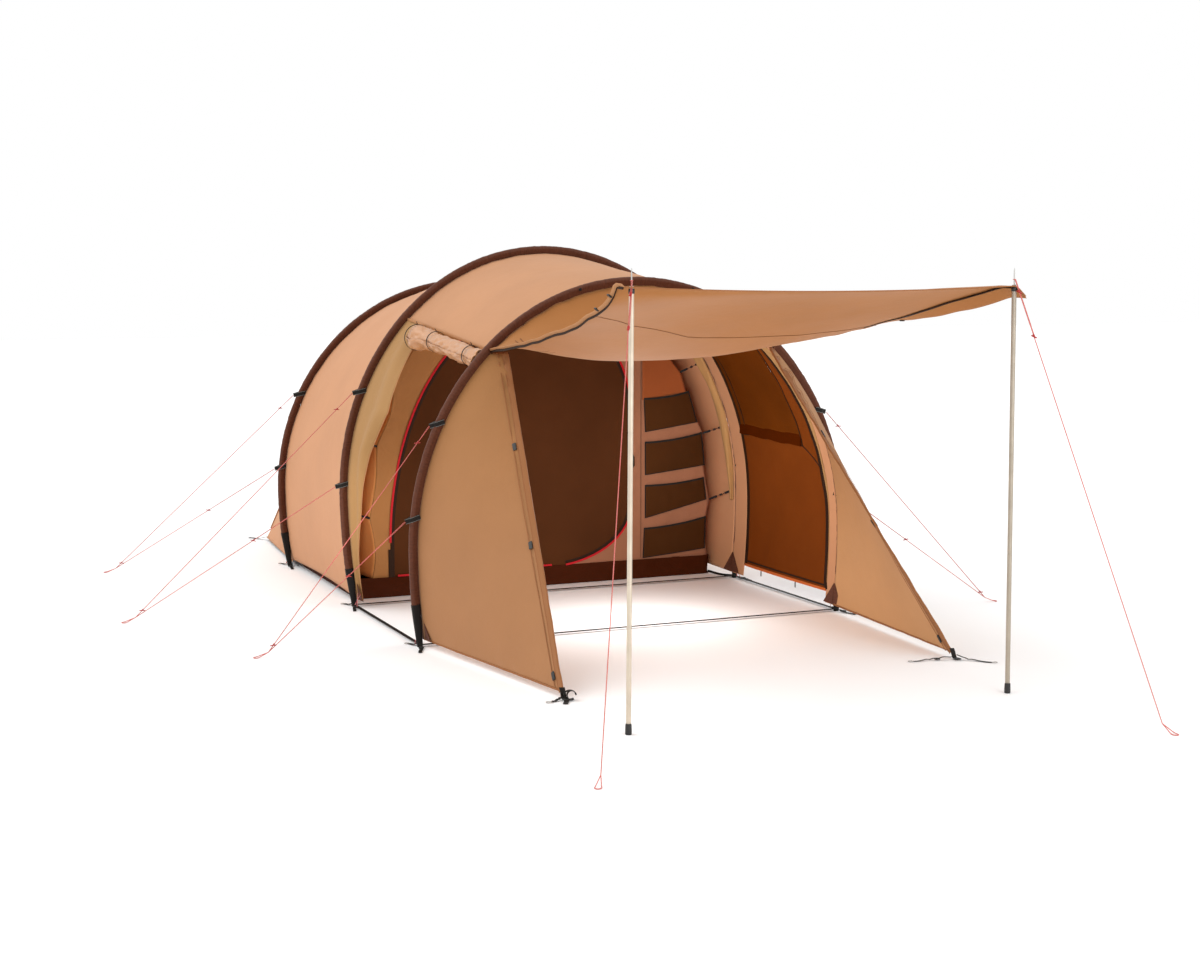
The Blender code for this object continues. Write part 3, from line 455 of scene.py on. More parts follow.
def outline(arch, share):
    """The x and z of an arch's outer edge at shares of its length from the left foot."""
    share = np.asarray(share, float)
    straight = arch.straight / outline_length(arch)
    near = np.clip(np.minimum(share, 1.0 - share), 0.0, 0.5)
    low_z = np.minimum(arch.straight * near / straight, arch.straight)
    low_x = arch.half_width - arch.foot_in * (1.0 - low_z / arch.straight) ** 2
    turn = np.pi * (1.0 - (share - straight) / (1.0 - 2.0 * straight))
    low = near < straight
    x = np.where(low, np.where(share < 0.5, -low_x, low_x), arch.half_width * np.cos(turn))
    z = np.where(low, low_z, arch.straight + (arch.height - arch.straight) * np.sin(turn))
    return x, z


def arch_axes(arch, share):
    """Points of the outer edge, and the unit direction inwards, in the arch's own plane."""
    share = np.asarray(share, float)
    step = 0.0001
    x, z = outline(arch, share)
    x0, z0 = outline(arch, np.maximum(share - step, 0.0))
    x1, z1 = outline(arch, np.minimum(share + step, 1.0))
    length = np.hypot(x1 - x0, z1 - z0)
    along_x, along_z = (x1 - x0) / length, (z1 - z0) / length
    point = np.stack([x, arch.y + arch.lean * z, z], axis=-1)
    return point, np.stack([along_z, np.zeros_like(x), -along_x], axis=-1)


def on_arch(arch, share, inset=0.0, forward=0.0):
    point, inward = arch_axes(arch, share)
    return point + inward * inset - np.array([0.0, forward, 0.0])


def share_at(arch, z):
    """The left share at which an arch's outline reaches a height."""
    shares = np.linspace(0.0, 0.5, 800)
    return float(np.interp(z, outline(arch, shares)[1], shares))


def between(arch_a, arch_b, shares_a, shares_b, ways, inset=SHEET_INSET):
    """A grid from one arch to another: a row for each share, a column for each way."""
    a = on_arch(arch_a, shares_a, inset)[:, None]
    b = on_arch(arch_b, shares_b, inset)[:, None]
    ways = np.asarray(ways, float)
    return a + (b - a) * (ways[None, :, None] if ways.ndim == 1 else ways[..., None])


def lattice(column, row, seed):
    value = np.sin(column * 127.1 + row * 311.7 + seed * 74.7) * 43758.5453
    return 2.0 * (value - np.floor(value)) - 1.0


def noise(u, v, seed=0):
    """Smooth noise between -1 and 1, with one bump for each unit of u and v."""
    column, row = np.floor(u), np.floor(v)
    fu, fv = u - column, v - row
    fu, fv = fu * fu * (3 - 2 * fu), fv * fv * (3 - 2 * fv)
    low = lattice(column, row, seed) * (1 - fu) + lattice(column + 1, row, seed) * fu
    high = lattice(column, row + 1, seed) * (1 - fu) + lattice(column + 1, row + 1, seed) * fu
    return low * (1 - fv) + high * fv


def metres(points):
    """How far along its row and its column each point of a grid lies."""
    across = np.zeros(points.shape[:2])
    along = np.zeros(points.shape[:2])
    across[:, 1:] = np.linalg.norm(np.diff(points, axis=1), axis=2).cumsum(axis=1)
    along[1:] = np.linalg.norm(np.diff(points, axis=0), axis=2).cumsum(axis=0)
    return across, along


def unit(vectors):
    """Vectors along the last axis, each brought to length 1."""
    return vectors / np.maximum(np.linalg.norm(vectors, axis=-1, keepdims=True), 1e-9)


def normals(points):
    return unit(np.cross(np.gradient(points, axis=1), np.gradient(points, axis=0)))


def raised(points, height):
    return points + normals(points) * height[..., None]


def dented(points, depth, size, seed):
    """Soft dents that die away towards the grid's edges, which stay still."""
    across, along = metres(points)
    height = noise(across / size, along / size, seed)
    height = height + 0.4 * noise(across / size * 2.3, along / size * 2.3, seed + 9)
    return raised(points, depth * height * dome(*points.shape[:2]) ** 0.5)


def puckered(points, edge, depth, pitch, reach, seed):
    """Short gathers that run in from one edge of a grid and die away."""
    across, along = metres(points)
    side, run = {"left": (across, along), "right": (across[:, -1:] - across, along),
                 "low": (along, across), "high": (along[-1:] - along, across)}[edge]
    ripple = noise(run / pitch, side / (5 * reach), seed)
    ripple = ripple + 0.5 * noise(run / (0.45 * pitch), side / (3 * reach), seed + 5)
    return raised(points, depth * np.exp(-side / reach) * ripple)


def dome(rows, columns):
    """1 in the middle of a grid and 0 along all four edges."""
    v = np.linspace(0, 1, rows)[:, None]
    u = np.linspace(0, 1, columns)[None, :]
    return 16 * u * (1 - u) * v * (1 - v)


def across_hump(columns):
    u = np.linspace(0, 1, columns)[None, :]
    return 4 * u * (1 - u)


def mirrored(points):
    """The same grid on the tent's other side, with its faces still turned the same way."""
    return (points * np.array([-1.0, 1.0, 1.0]))[:, ::-1]


def placed(points):
    return np.asarray(points, float) + np.array([0.0, SHIFT_Y, 0.0])


def resampled(path, count):
    """A polyline's points, spaced evenly along it."""
    path = np.asarray(path, float)
    distance = np.r_[0.0, np.linalg.norm(np.diff(path, axis=0), axis=1).cumsum()]
    wanted = np.linspace(0.0, distance[-1], count)
    return np.stack([np.interp(wanted, distance, path[:, k]) for k in range(path.shape[1])], -1)


def eased(path, passes):
    """A path with its corners eased and its ends kept."""
    path = path.copy()
    for _ in range(passes):
        path[1:-1] = 0.25 * path[:-2] + 0.5 * path[1:-1] + 0.25 * path[2:]
    return path


def rounded(path, count, passes=3):
    return eased(resampled(path, count), passes)


def squared(turns, power):
    """The x and y round a circle that is pushed out towards a square."""
    return [np.sign(wave) * np.abs(wave) ** power for wave in (np.cos(turns), np.sin(turns))]


def flat_axes(x, y):
    """Unit directions along and square to a heading on the ground."""
    heading = unit(np.array([x, y, 0.0]))
    return heading, np.array([-heading[1], heading[0], 0.0])


# Meshes

def make_object(name, vertices, faces, uv, material, sharp_angle=None):
    mesh = bpy.data.meshes.new(name)
    mesh.from_pydata(placed(vertices).tolist(), [], faces)
    loops = np.empty(len(mesh.loops), int)
    mesh.loops.foreach_get("vertex_index", loops)
    layer = mesh.uv_layers.new(name="cloth")
    layer.data.foreach_set("uv", np.asarray(uv, np.float32)[loops].ravel())
    mesh.materials.append(material)
    mesh.shade_smooth()
    if sharp_angle:
        mesh.set_sharp_from_angle(angle=math.radians(sharp_angle))
    piece = bpy.data.objects.new(name, mesh)
    bpy.context.scene.collection.objects.link(piece)
    return piece


def settled(piece, nodes=()):
    """Rides the piece on the tent's body, and hides the nodes it stands for."""
    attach(piece, "root")
    if nodes:
        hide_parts(*nodes)
    return piece


def grid_faces(rows, columns, keep=None):
    index = np.arange(rows * columns).reshape(rows, columns)
    quads = np.stack([index[:-1, :-1], index[:-1, 1:], index[1:, 1:], index[1:, :-1]], -1)
    if keep is not None:
        quads = quads[keep]
    return quads.reshape(-1, 4)


def cloth(name, points, material, nodes=(), keep=None,
          thickness=CLOTH, seam_closed=False):
    """A sheet of cloth on a grid of points, given the cloth's thickness."""
    rows, columns = points.shape[:2]
    faces = grid_faces(rows, columns, keep)
    across, along = metres(points)
    uv = np.stack([across, along], -1).reshape(-1, 2)
    vertices = points.reshape(-1, 3)
    corners = vertices[faces]
    diagonals = np.cross(corners[:, 2] - corners[:, 0], corners[:, 3] - corners[:, 1])
    area = 0.5 * float(np.linalg.norm(diagonals, axis=1).sum())
    if seam_closed:
        last = (faces % columns) == columns - 1
        faces = np.where(last, faces - (columns - 1), faces)
    used = np.zeros(len(vertices), bool)
    used[faces.ravel()] = True
    order = np.cumsum(used) - 1
    piece = make_object(name, vertices[used], order[faces].tolist(), uv[used], material)
    skin = piece.modifiers.new("thickness", "SOLIDIFY")
    skin.thickness = thickness
    skin.offset = 0.0
    settled(piece, nodes)
    width, length = float(across.max()), float(along.max())
    area = min(area, width * length)
    return piece


def axes_along(path):
    """Two unit directions square to a path, carried along it without twisting."""
    tangent = unit(np.gradient(path, axis=0))
    side = np.cross(tangent[0], UP if abs(tangent[0][2]) < 0.9 else RIGHT)
    sides = []
    for direction in tangent:
        side = unit(side - direction * side.dot(direction))
        sides.append(side)
    sides = np.array(sides)
    return sides, np.cross(tangent, sides)


class Shape:
    """One piece's vertices and faces, gathered from tubes, bands and lofted rings."""

    def __init__(self):
        self.vertices, self.faces, self.uv = [], [], []

    def rings(self, rings, caps=True, loop=False):
        """Skin over rings of points: (rings, points round each, 3)."""
        rings = np.asarray(rings, float)
        if loop:
            rings = np.concatenate([rings, rings[:1]])
        count, around = rings.shape[:2]
        rings = np.concatenate([rings, rings[:, :1]], axis=1)
        base = len(self.vertices)
        across, along = metres(rings)
        along = along.mean(axis=1, keepdims=True) + 0 * across
        self.vertices += rings.reshape(-1, 3).tolist()
        self.uv += np.stack([along, across], -1).reshape(-1, 2).tolist()
        self.faces += (grid_faces(count, around + 1) + base).tolist()
        if caps and not loop:
            for ring, flip in ((0, 1), (count - 1, -1)):
                start = base + ring * (around + 1)
                self.faces.append(list(range(start, start + around))[::flip])

    def tube(self, path, radius, sides=8):
        """A round bar along a path; radius is one number, or one for each point."""
        path = np.asarray(path, float)
        side, up = axes_along(path)
        turns = np.linspace(0, 2 * np.pi, sides, endpoint=False)[:, None]
        ring = side[:, None] * np.cos(turns) + up[:, None] * np.sin(turns)
        radius = np.broadcast_to(np.asarray(radius, float), len(path))[:, None, None]
        self.rings(path[:, None] + ring * radius)

    def band(self, path, across, width, thickness, loop=False):
        """A flat strap along a path; across is the direction of its width."""
        path = np.asarray(path, float)
        tangent = np.gradient(path, axis=0)
        if loop:
            tangent = np.roll(path, -1, axis=0) - np.roll(path, 1, axis=0)
        tangent = unit(tangent)
        across = np.asarray(across, float)
        across = unit(across - tangent * (across * tangent).sum(axis=1, keepdims=True))
        normal = np.cross(tangent, across)
        width = np.broadcast_to(np.asarray(width, float), len(path))[:, None, None]
        ring = across[:, None] * STRAP_SECTION[:, :1] * width
        ring = ring + normal[:, None] * STRAP_SECTION[:, 1:] * thickness
        self.rings(path[:, None] + ring, True, loop)

    def block(self, centre, along, across, size):
        """A small rounded block: size is its length, width and thickness."""
        along = unit(np.asarray(along, float))
        across = unit(np.asarray(across, float) - along * np.dot(across, along))
        normal = np.cross(along, across)
        wide, thick = squared(np.linspace(0, 2 * np.pi, 16, endpoint=False) + np.pi / 16, 0.35)
        flat = across * (wide[:, None] * size[1] / 2) + normal * (thick[:, None] * size[2] / 2)
        end, shoulder = 0.5, 0.5 - BLOCK_BEVEL
        rings = []
        for step, shrink in ((-end, 1 - BLOCK_BEVEL), (-shoulder, 1.0), (shoulder, 1.0),
                             (end, 1 - BLOCK_BEVEL)):
            rings.append(np.asarray(centre, float) + along * size[0] * step + flat * shrink)
        self.rings(rings)

    def make(self, name, material, slot, nodes=(), sharp_angle=40):
        piece = make_object(name, np.array(self.vertices), self.faces, self.uv, material,
                            sharp_angle)
        return settled(piece, nodes)


def single_band(name, material, slot, path, across, width, thickness):
    """A piece that is one strap along a path."""
    shape = Shape()
    shape.band(path, across, width, thickness)
    shape.make(name, material, slot)


def ring(shape, centre, radius, thickness):
    """A flat ring of round bar."""
    first = unit(np.cross(UP, [0.3, 1.0, 0.2]))
    second = np.cross(UP, first)
    turns = np.linspace(0, 2 * np.pi, 20, endpoint=False)[:, None]
    out = first * np.cos(turns) + second * np.sin(turns)
    angles = np.linspace(0, 2 * np.pi, 8, endpoint=False)[:, None]
    section = out[:, None] * np.cos(angles) + UP * np.sin(angles)
    shape.rings((centre + radius * out)[:, None] + thickness * section, False, True)


# Arches: sleeves, feet and guy tabs

ARCHES = (("rear", REAR), ("middle", MIDDLE), ("front", FRONT))
SIDES = (("left", -1.0), ("right", 1.0))


def guy_peg(label, side):
    """The ground point (x, y) of an arch's guy lines on one side."""
    index = [name for name, _ in ARCHES].index(label)
    return (LEFT_PEGS if side < 0 else RIGHT_PEGS)[index]


def sleeve_section():
    """A sleeve's closed outline as (inset, y): round over the pole, narrow at its seam."""
    turns = np.radians(np.linspace(-118, 118, 15))
    arc = np.stack([SLEEVE_AXIS_INSET - SLEEVE_RADIUS * np.cos(turns),
                    SLEEVE_RADIUS * np.sin(turns)], -1)
    seam = np.array([SLEEVE_SEAM])
    flank = seam + (arc[:1] - seam) * np.linspace(0, 1, 6)[:-1, None]
    return np.concatenate([flank, arc, (flank * [1, -1])[::-1]])


def make_sleeve(label, arch):
    low = low_share(arch, FOOT_HEIGHT)
    shares = np.linspace(low, 1 - low, 640)
    point, inward = arch_axes(arch, shares)
    section = sleeve_section()
    middle = section.mean(axis=0)
    around = np.r_[0.0, np.linalg.norm(np.diff(section, axis=0), axis=1).cumsum()]
    run = (shares * outline_length(arch))[:, None] + np.zeros(len(section))
    creases = noise(run / 0.017 + around / 0.022, around / 0.016 - run / 0.05, 3)
    creases = creases + 0.5 * noise(run / 0.06 - around / 0.05, around / 0.03, 8)
    out = unit(section - middle)
    flat = section[None] + out[None] * (0.0011 * creases)[..., None]
    rings = point[:, None] + inward[:, None] * flat[..., :1]
    rings = rings + BACK * flat[..., 1:]
    shape = Shape()
    shape.rings(rings, caps=False)
    shape.make(f"{label}_sleeve", SLEEVE, "brown_sleeve", [f"{label}_pole_sleeve"], None)


def make_foot(shape, arch, side):
    """The black pocket under a sleeve: a soft loft from the sleeve down to the pole's toe."""
    top, inward = arch_axes(arch, low_share(arch, FOOT_HEIGHT + 0.012))
    toe = on_arch(arch, 0.0)
    turns = np.linspace(0, 2 * np.pi, 20, endpoint=False)
    wide, deep = squared(turns, 0.6)
    rings = []
    for rise in np.linspace(0, 1, 14):
        centre = (1 - rise) * (toe + [0.022, 0, 0]) + rise * (top + inward * 0.022)
        direction = (1 - rise) * RIGHT + rise * inward
        fold = 1.0 + 0.05 * noise(turns * 1.3 + 7 * arch.y, 0 * turns + rise * 5, 4)
        wave_x = wide * (0.014 + 0.0085 * rise ** 0.8) * fold
        wave_y = deep * (0.0105 + 0.0060 * rise ** 0.8) * fold
        rings.append((centre + direction * wave_x[:, None] + BACK * wave_y[:, None])
                     * [-side, 1.0, 1.0])
    shape.rings(rings if side < 0 else [r[::-1] for r in rings])


def tab_axis(arch, share, peg):
    """How a guy tab on the left lies: partly square to its sleeve, partly in line with its guy."""
    point, inward = arch_axes(arch, share)
    pull = np.array([point[0] + abs(peg[0]), 0.0, point[2]])
    return unit(inward + 1.2 * unit(pull))


def guy_tab(webbing_shape, edging_shape, point, inward):
    """A strap sewn over a sleeve, with light edging, that a guy line is tied to."""
    section = np.array([[TAB_REACH, -0.0175], [0.022, -0.0180], [0.006, -0.0160], [-0.006, -0.006],
                        [-0.020, -0.0015], [-0.026, 0.0], [-0.020, 0.0015], [-0.006, 0.006],
                        [0.006, 0.0160], [0.022, 0.0180], [TAB_REACH, 0.0175]])
    path = point + inward * section[:, :1] + BACK * section[:, 1:]
    path = rounded(path, 34, 1)
    along = np.cross(inward, BACK)
    webbing_shape.band(path, along, TAB_WIDTH, 0.0016)
    for shift in (-1, 1):
        edging_shape.band(path + along * shift * TAB_WIDTH * 0.42, along, 0.0022, 0.0024)


def make_arches():
    tabs, edging = Shape(), Shape()
    for label, arch in ARCHES:
        make_sleeve(label, arch)
        for side_name, side in SIDES:
            foot = Shape()
            make_foot(foot, arch, side)
            foot.make(f"{label}_{side_name}_foot_pocket", STRAP, "black_webbing",
                      [f"{label}_{side_name}_foot"], 60)
            flip = [-side, 1, 1]
            for station in GUY_STATIONS:
                axis = tab_axis(arch, station / STATIONS, guy_peg(label, side))
                guy_tab(tabs, edging, on_arch(arch, station / STATIONS) * flip, axis * flip)
    for share in TOGGLE_SHARES:
        spot = on_arch(FRONT, share, 0.020, 0.0175)
        tabs.block(spot, arch_axes(FRONT, share)[1], -BACK, (0.013, 0.008, 0.013))
    tabs.make("guy_tabs", STRAP, "black_webbing")
    edging.make("guy_tab_edging", STRAP_EDGE, "black_webbing")


# Outer tent

def full_span(arch_a, arch_b, count, low=HEM_HEIGHT):
    """Matching shares of two arches from the left hem over the roof to the right hem."""
    t = np.linspace(0, 1, count)
    shares = []
    for arch in (arch_a, arch_b):
        foot = low_share(arch, low)
        shares.append(foot + (1 - 2 * foot) * t)
    return shares


def make_rear_fly():
    rows, columns = 230, 64
    shares = full_span(REAR, MIDDLE, rows)
    points = between(REAR, MIDDLE, *shares, np.linspace(0.0006, 0.9994, columns))
    hump = across_hump(columns)
    points = raised(points, -0.010 * hump)
    lift = 0.018 * hump * np.exp(-points[..., 2] / 0.10)
    points[..., 2] += lift
    points = dented(points, 0.0045, 0.42, 11)
    for edge in ("left", "right"):
        points = puckered(points, edge, 0.0022, 0.060, 0.050, 21)
    cloth("rear_fly", points, FLY,
          ["rear_section_left_wall", "rear_section_roof", "rear_section_right_wall"])


def sloping(arch, corner, hem, inset, low, rows, columns):
    """A grid that slopes from an arch to the ground, with a corner on each side."""
    foot_share = low_share(arch, low)
    shares = np.linspace(foot_share, 1 - foot_share, rows)
    top = on_arch(arch, shares, inset, -0.0015)
    foot = on_arch(arch, 0.0, inset)
    near = np.minimum(shares, 1 - shares) / SEAM
    side = np.where(shares < 0.5, 1.0, -1.0)
    across = np.clip((shares - SEAM) / (1 - 2 * SEAM), 0, 1)
    x = np.where(near < 1, side * (foot[0] + (-corner[0] - foot[0]) * near),
                 corner[0] * (2 * across - 1))
    y = np.where(near < 1, arch.y + (corner[1] - arch.y) * near, corner[1])
    low_edge = np.stack([x, y, np.full(rows, hem)], -1)
    ways = np.linspace(0, 1, columns)[None, :, None]
    return top[:, None] + (low_edge[:, None] - top[:, None]) * ways


def make_rear_end():
    rows, columns = 210, 56
    points = sloping(REAR, REAR_CORNER, 0.018, SHEET_INSET, HEM_HEIGHT, rows, columns)
    points = raised(points, 0.018 * dome(rows, columns) ** 0.8)
    points = dented(points, 0.006, 0.40, 31)
    points = puckered(points, "left", 0.0025, 0.07, 0.06, 33)
    points = puckered(points, "right", 0.0020, 0.09, 0.05, 34)
    cloth("rear_end_fly", points, FLY, ["rear_end"])
    seams = Shape()
    for row in (int(rows * SEAM), rows - 1 - int(rows * SEAM)):
        path = points[row, ::4]
        seams.band(path + normals(points)[row, ::4] * -0.0015, RIGHT, 0.016, 0.0016)
    seams.make("rear_end_seams", TAN_BINDING, "tan_fabric")
    straps = Shape()
    for _, side in SIDES:
        corner = np.array([side * REAR_CORNER[0], REAR_CORNER[1], 0.018])
        out = np.array([side * 0.55, 0.83, 0.0])
        tail = [corner + out * reach + [0, 0, lift] for reach, lift in REAR_STRAP]
        straps.band(rounded(tail, 24), np.cross(out, UP), 0.018, 0.002)
        ring(straps, corner + out * 0.155 - [0, 0, 0.014], 0.011, 0.0018)
    straps.make("rear_corner_straps", STRAP, "black_webbing")


def side_shares(arch, low, rows, top=SEAM):
    return np.linspace(low_share(arch, low), top, rows)


def side_panel(rows, ways, low=HEM_HEIGHT):
    """A grid on the left between the middle and front arches, from the hem to the roof seam."""
    return between(MIDDLE, FRONT, side_shares(MIDDLE, low, rows), side_shares(FRONT, low, rows),
                   ways)


def make_front_roof():
    rows, columns = 120, 64
    shares = np.linspace(SEAM, 1 - SEAM, rows)
    points = between(MIDDLE, FRONT, shares, shares, np.linspace(0.0006, 0.9994, columns))
    points = raised(points, 0.008 * across_hump(columns))
    points = dented(points, 0.0045, 0.38, 41)
    for edge in ("left", "right"):
        points = puckered(points, edge, 0.0022, 0.055, 0.05, 43)
    cloth("front_roof_fly", points, ROOF, ["front_roof"])
    seams = Shape()
    for row in (0, rows - 1):
        path = points[row, ::3]
        outwards = on_arch(MIDDLE, SEAM if row == 0 else 1 - SEAM)
        outwards = unit((outwards - [0, 0, 0.6]) * [1, 0, 1])
        seams.band(path + outwards * 0.0035, UP, 0.014, 0.0025)
    seams.make("roof_seams", TAN_BINDING, "tan_fabric")


def make_strips():
    """The narrow wall strips beside the side doors."""
    rows, columns = 110, 12
    front = side_panel(rows, np.linspace(DOOR_FRONT_EDGE, 0.9994, columns))
    front = puckered(front, "right", 0.0015, 0.05, 0.04, 51)
    cloth("left_front_edge", front, STRIP, ["left_front_strip"])
    cloth("right_front_edge", mirrored(front), FLY, ["right_front_strip"])
    rear = side_panel(rows, np.linspace(0.0006, DOOR_REAR_EDGE, columns))
    rear = puckered(rear, "left", 0.0015, 0.05, 0.04, 52)
    cloth("right_rear_edge", mirrored(rear), FLY, ["right_rear_strip"])
    single_band("left_front_piping", TAN_BINDING, "tan_fabric", front[::3, 0], BACK, 0.008, 0.003)


def make_storm_flap():
    rows, columns = 130, 34
    rail = side_panel(rows, [0.0])
    width = np.interp(rail[:, 0, 2], FLAP_EDGE_Z, FLAP_EDGE_WAY)
    u = np.linspace(0, 1, columns)[None, :]
    points = side_panel(rows, 0.0006 + width[:, None] * u)
    z = points[..., 2]
    folds = 0.012 * np.sin(2 * np.pi * (1.6 * u + 0.35 * z + 0.15)) * u
    folds = folds + 0.010 * noise(u * 3.0 + 0 * z, z / 0.30, 61) * u
    curl = 0.030 * u ** 2
    points[..., 0] += folds + curl
    cloth("left_storm_curtain", points, FLAP, ["left_storm_flap"])
    single_band("storm_curtain_hem", TAN_BINDING, "tan_fabric", points[::2, -1], BACK, 0.007,
                0.0025)


def roll_radius(t):
    """The rolled door's radius along its length: slack near its rear end, which is gathered."""
    t = np.asarray(t, float)
    radius = ROLL_RADIUS + 0.021 * np.exp(-((t - 0.08) / 0.09) ** 2)
    return radius * (0.45 + 0.55 * np.clip(t / 0.03, 0, 1) ** 0.5)


def roll_axis(t):
    """Points on the rolled door's axis, which hangs by its radius under the roof seam."""
    t = np.asarray(t, float)
    way = (ROLL_START_WAY + ROLL_SPAN_WAY * t)[..., None]
    ends = []
    for arch in (MIDDLE, FRONT):
        point, inward = arch_axes(arch, SEAM)
        along = np.array([-inward[2], 0.0, inward[0]])
        ends.append((point + inward * (SLEEVE_DEPTH + 0.0023), along))
    hung = ends[0][0] + (ends[1][0] - ends[0][0]) * way
    return hung - ends[0][1] * (roll_radius(t) + 0.001)[..., None]


def make_door_roll():
    """The left door as one sheet wound in seven turns, crumpled, and held by three ties."""
    rows, steps = 120, 40
    t = np.linspace(0, 1, rows)[:, None]
    direction = unit(roll_axis(1.0) - roll_axis(0.0))
    side = unit(np.cross(direction, UP))
    up = np.cross(side, direction)
    angle = np.linspace(0, 2 * np.pi * ROLL_TURNS, ROLL_TURNS * steps + 1)[None, :]
    wound = angle / angle.max()
    pinch = sum(np.exp(-((t - place) / 0.030) ** 2) for place in TIE_PLACES)
    c, d = np.cos(angle), np.sin(angle)
    crumple = noise(t * 9 + c * 1.3, d * 1.7 + t * 2, 71)
    crumple = crumple + 0.8 * noise(t * 24 + c * 2.2, d * 2.6 - t * 5, 72)
    crumple = crumple + 0.5 * noise(t * 46 - c * 4, d * 4.5 + t * 9, 73)
    scale = (0.88 - 0.13 * pinch + 0.110 * crumple) * (0.20 + 0.80 * wound)
    radius = roll_radius(t) * np.minimum(scale, 1.0)
    points = roll_axis(t[:, 0])[:, None] + side * (radius * c)[..., None]
    points = points + up * (radius * d)[..., None]
    cloth("rolled_side_door", points, ROLL, ["left_door_roll"],
          thickness=0.0009)
    ties = Shape()
    turn = np.linspace(0, 2 * np.pi, 33)[:-1, None]
    for place in TIE_PLACES:
        centre = roll_axis(place)
        reach = float(roll_radius(place)) * 0.93
        path = centre + reach * (side * np.cos(turn) + up * np.sin(turn))
        ties.band(path, direction, 0.009, 0.002, loop=True)
        ties.band([centre + up * reach, centre + up * (reach + 0.010) + side * 0.004,
                   centre + up * (reach + 0.016) + side * 0.008], direction, 0.009, 0.002)
    ties.make("door_ties", STRAP, "black_webbing")


def make_right_door():
    rows, columns = 130, 66
    low = DOOR_HEM_HEIGHT
    ways = np.linspace(DOOR_REAR_EDGE + 0.002, DOOR_FRONT_EDGE - 0.002, columns)
    points = side_panel(rows, ways, low)
    from_top = np.linspace(1, 0, rows)[:, None]
    points = raised(points, -0.014 * across_hump(columns) * np.minimum(from_top / 0.15, 1.0))
    points = dented(points, 0.006, 0.30, 81)
    points = puckered(points, "low", 0.002, 0.06, 0.05, 82)
    cell_z = 0.25 * (points[:-1, :-1, 2] + points[1:, 1:, 2] + points[:-1, 1:, 2]
                     + points[1:, :-1, 2])
    cell_way = 0.5 * (ways[1:] + ways[:-1])[None, :]
    front_strip = cell_way > WINDOW_FRONT_EDGE
    panel = (cell_z < WINDOW_SILL) | front_strip
    cloth("right_door_panel", mirrored(points), DOOR, ["right_side_door"],
          keep=panel[:, ::-1])
    window = raised(points, 0.003 * noise(ways[None, :] * 3, points[..., 2] / 0.045, 84))
    cloth("right_door_netting", mirrored(window), WINDOW, ["right_door_window"],
          keep=~panel[:, ::-1])
    trim_right_door(points, ways)


def trim_right_door(points, ways):
    """Zips, window band and hem of the right door, along lines on its grid."""
    heights = points[:, 0, 2]
    top = float(heights[-1]) - 0.01

    def nearest(way, z):
        row = np.interp(z, heights, np.arange(len(heights))).round().astype(int)
        column = np.interp(way, ways, np.arange(len(ways))).round().astype(int)
        return points[row, column]

    def upright(way_of_z, low, count):
        z = np.linspace(low, top, count)
        return eased(resampled(nearest(way_of_z(z), z), count), 4) * [-1, 1, 1]

    def level(z_of_way, low, high, count=40):
        way = np.linspace(low, high, count)
        return eased(nearest(way, z_of_way(way)), 4) * [-1, 1, 1]

    front_way = lambda z: np.interp(z, ZIP_Z, ZIP_WAY)
    sill = lambda way: 0.895 + 0.056 * (way - REAR_ZIP_WAY)
    zips = Shape()
    across = [0.05, 1.0, 0]
    for way_of_z, low, count, width in (
            (lambda z: REAR_ZIP_WAY + 0 * z, DOOR_ZIP_LOW, 60, 0.034),
            (front_way, DOOR_ZIP_LOW, 60, 0.030),
            (lambda z: 0.205 + 0 * z, 0.90, 40, 0.007),
            (lambda z: np.interp(z, WINDOW_EDGE_Z, WINDOW_EDGE_WAY), 0.93, 40, 0.008)):
        zips.band(upright(way_of_z, low, count), across, width, 0.006)
    zips.band(level(sill, REAR_ZIP_WAY, WINDOW_EDGE_WAY[0]), UP, 0.007, 0.006)
    corner_seam = lambda way: np.interp(way, CORNER_SEAM_WAY, CORNER_SEAM_Z)
    zips.band(level(corner_seam, CORNER_SEAM_WAY[0], CORNER_SEAM_WAY[-1], 16), [0, 0.3, 1.0],
              0.006, 0.006)
    zips.band(level(lambda way: 0.130 + 0 * way, 0.14, 0.92), UP, 0.010, 0.005)
    zips.make("right_door_zips", ZIP, "brown_sleeve")
    spare = DOOR_FRONT_EDGE - front_way(np.linspace(DOOR_ZIP_LOW, top, 60))
    middle_way = lambda z: (front_way(z) + DOOR_FRONT_EDGE) / 2 + 0.004
    single_band("right_door_facing", FLAP, "tan_fabric", upright(middle_way, DOOR_ZIP_LOW, 60),
                across, spare * (MIDDLE.y - FRONT.y), 0.0035)
    single_band("window_lower_band", BAND, "inner_fabric",
                level(lambda way: sill(way) + 0.060, REAR_ZIP_WAY, WINDOW_EDGE_WAY[0]), UP, 0.118,
                0.004)
    single_band("right_door_hem", HEM_ORANGE, "inner_fabric",
                level(lambda way: 0.106 + 0 * way, 0.135, 0.925), UP, 0.016, 0.005)
    loops = Shape()
    for way in DOOR_LOOP_WAYS:
        spot = level(lambda w: 0.104 + 0 * w, way, way + 0.02, 4)[0]
        loops.band([spot, spot - [0, 0, 0.022], spot - [0, 0, 0.040]], BACK, 0.010, 0.002)
    loops.make("door_hem_loops", STRAP, "black_webbing")


# Wings and canopy

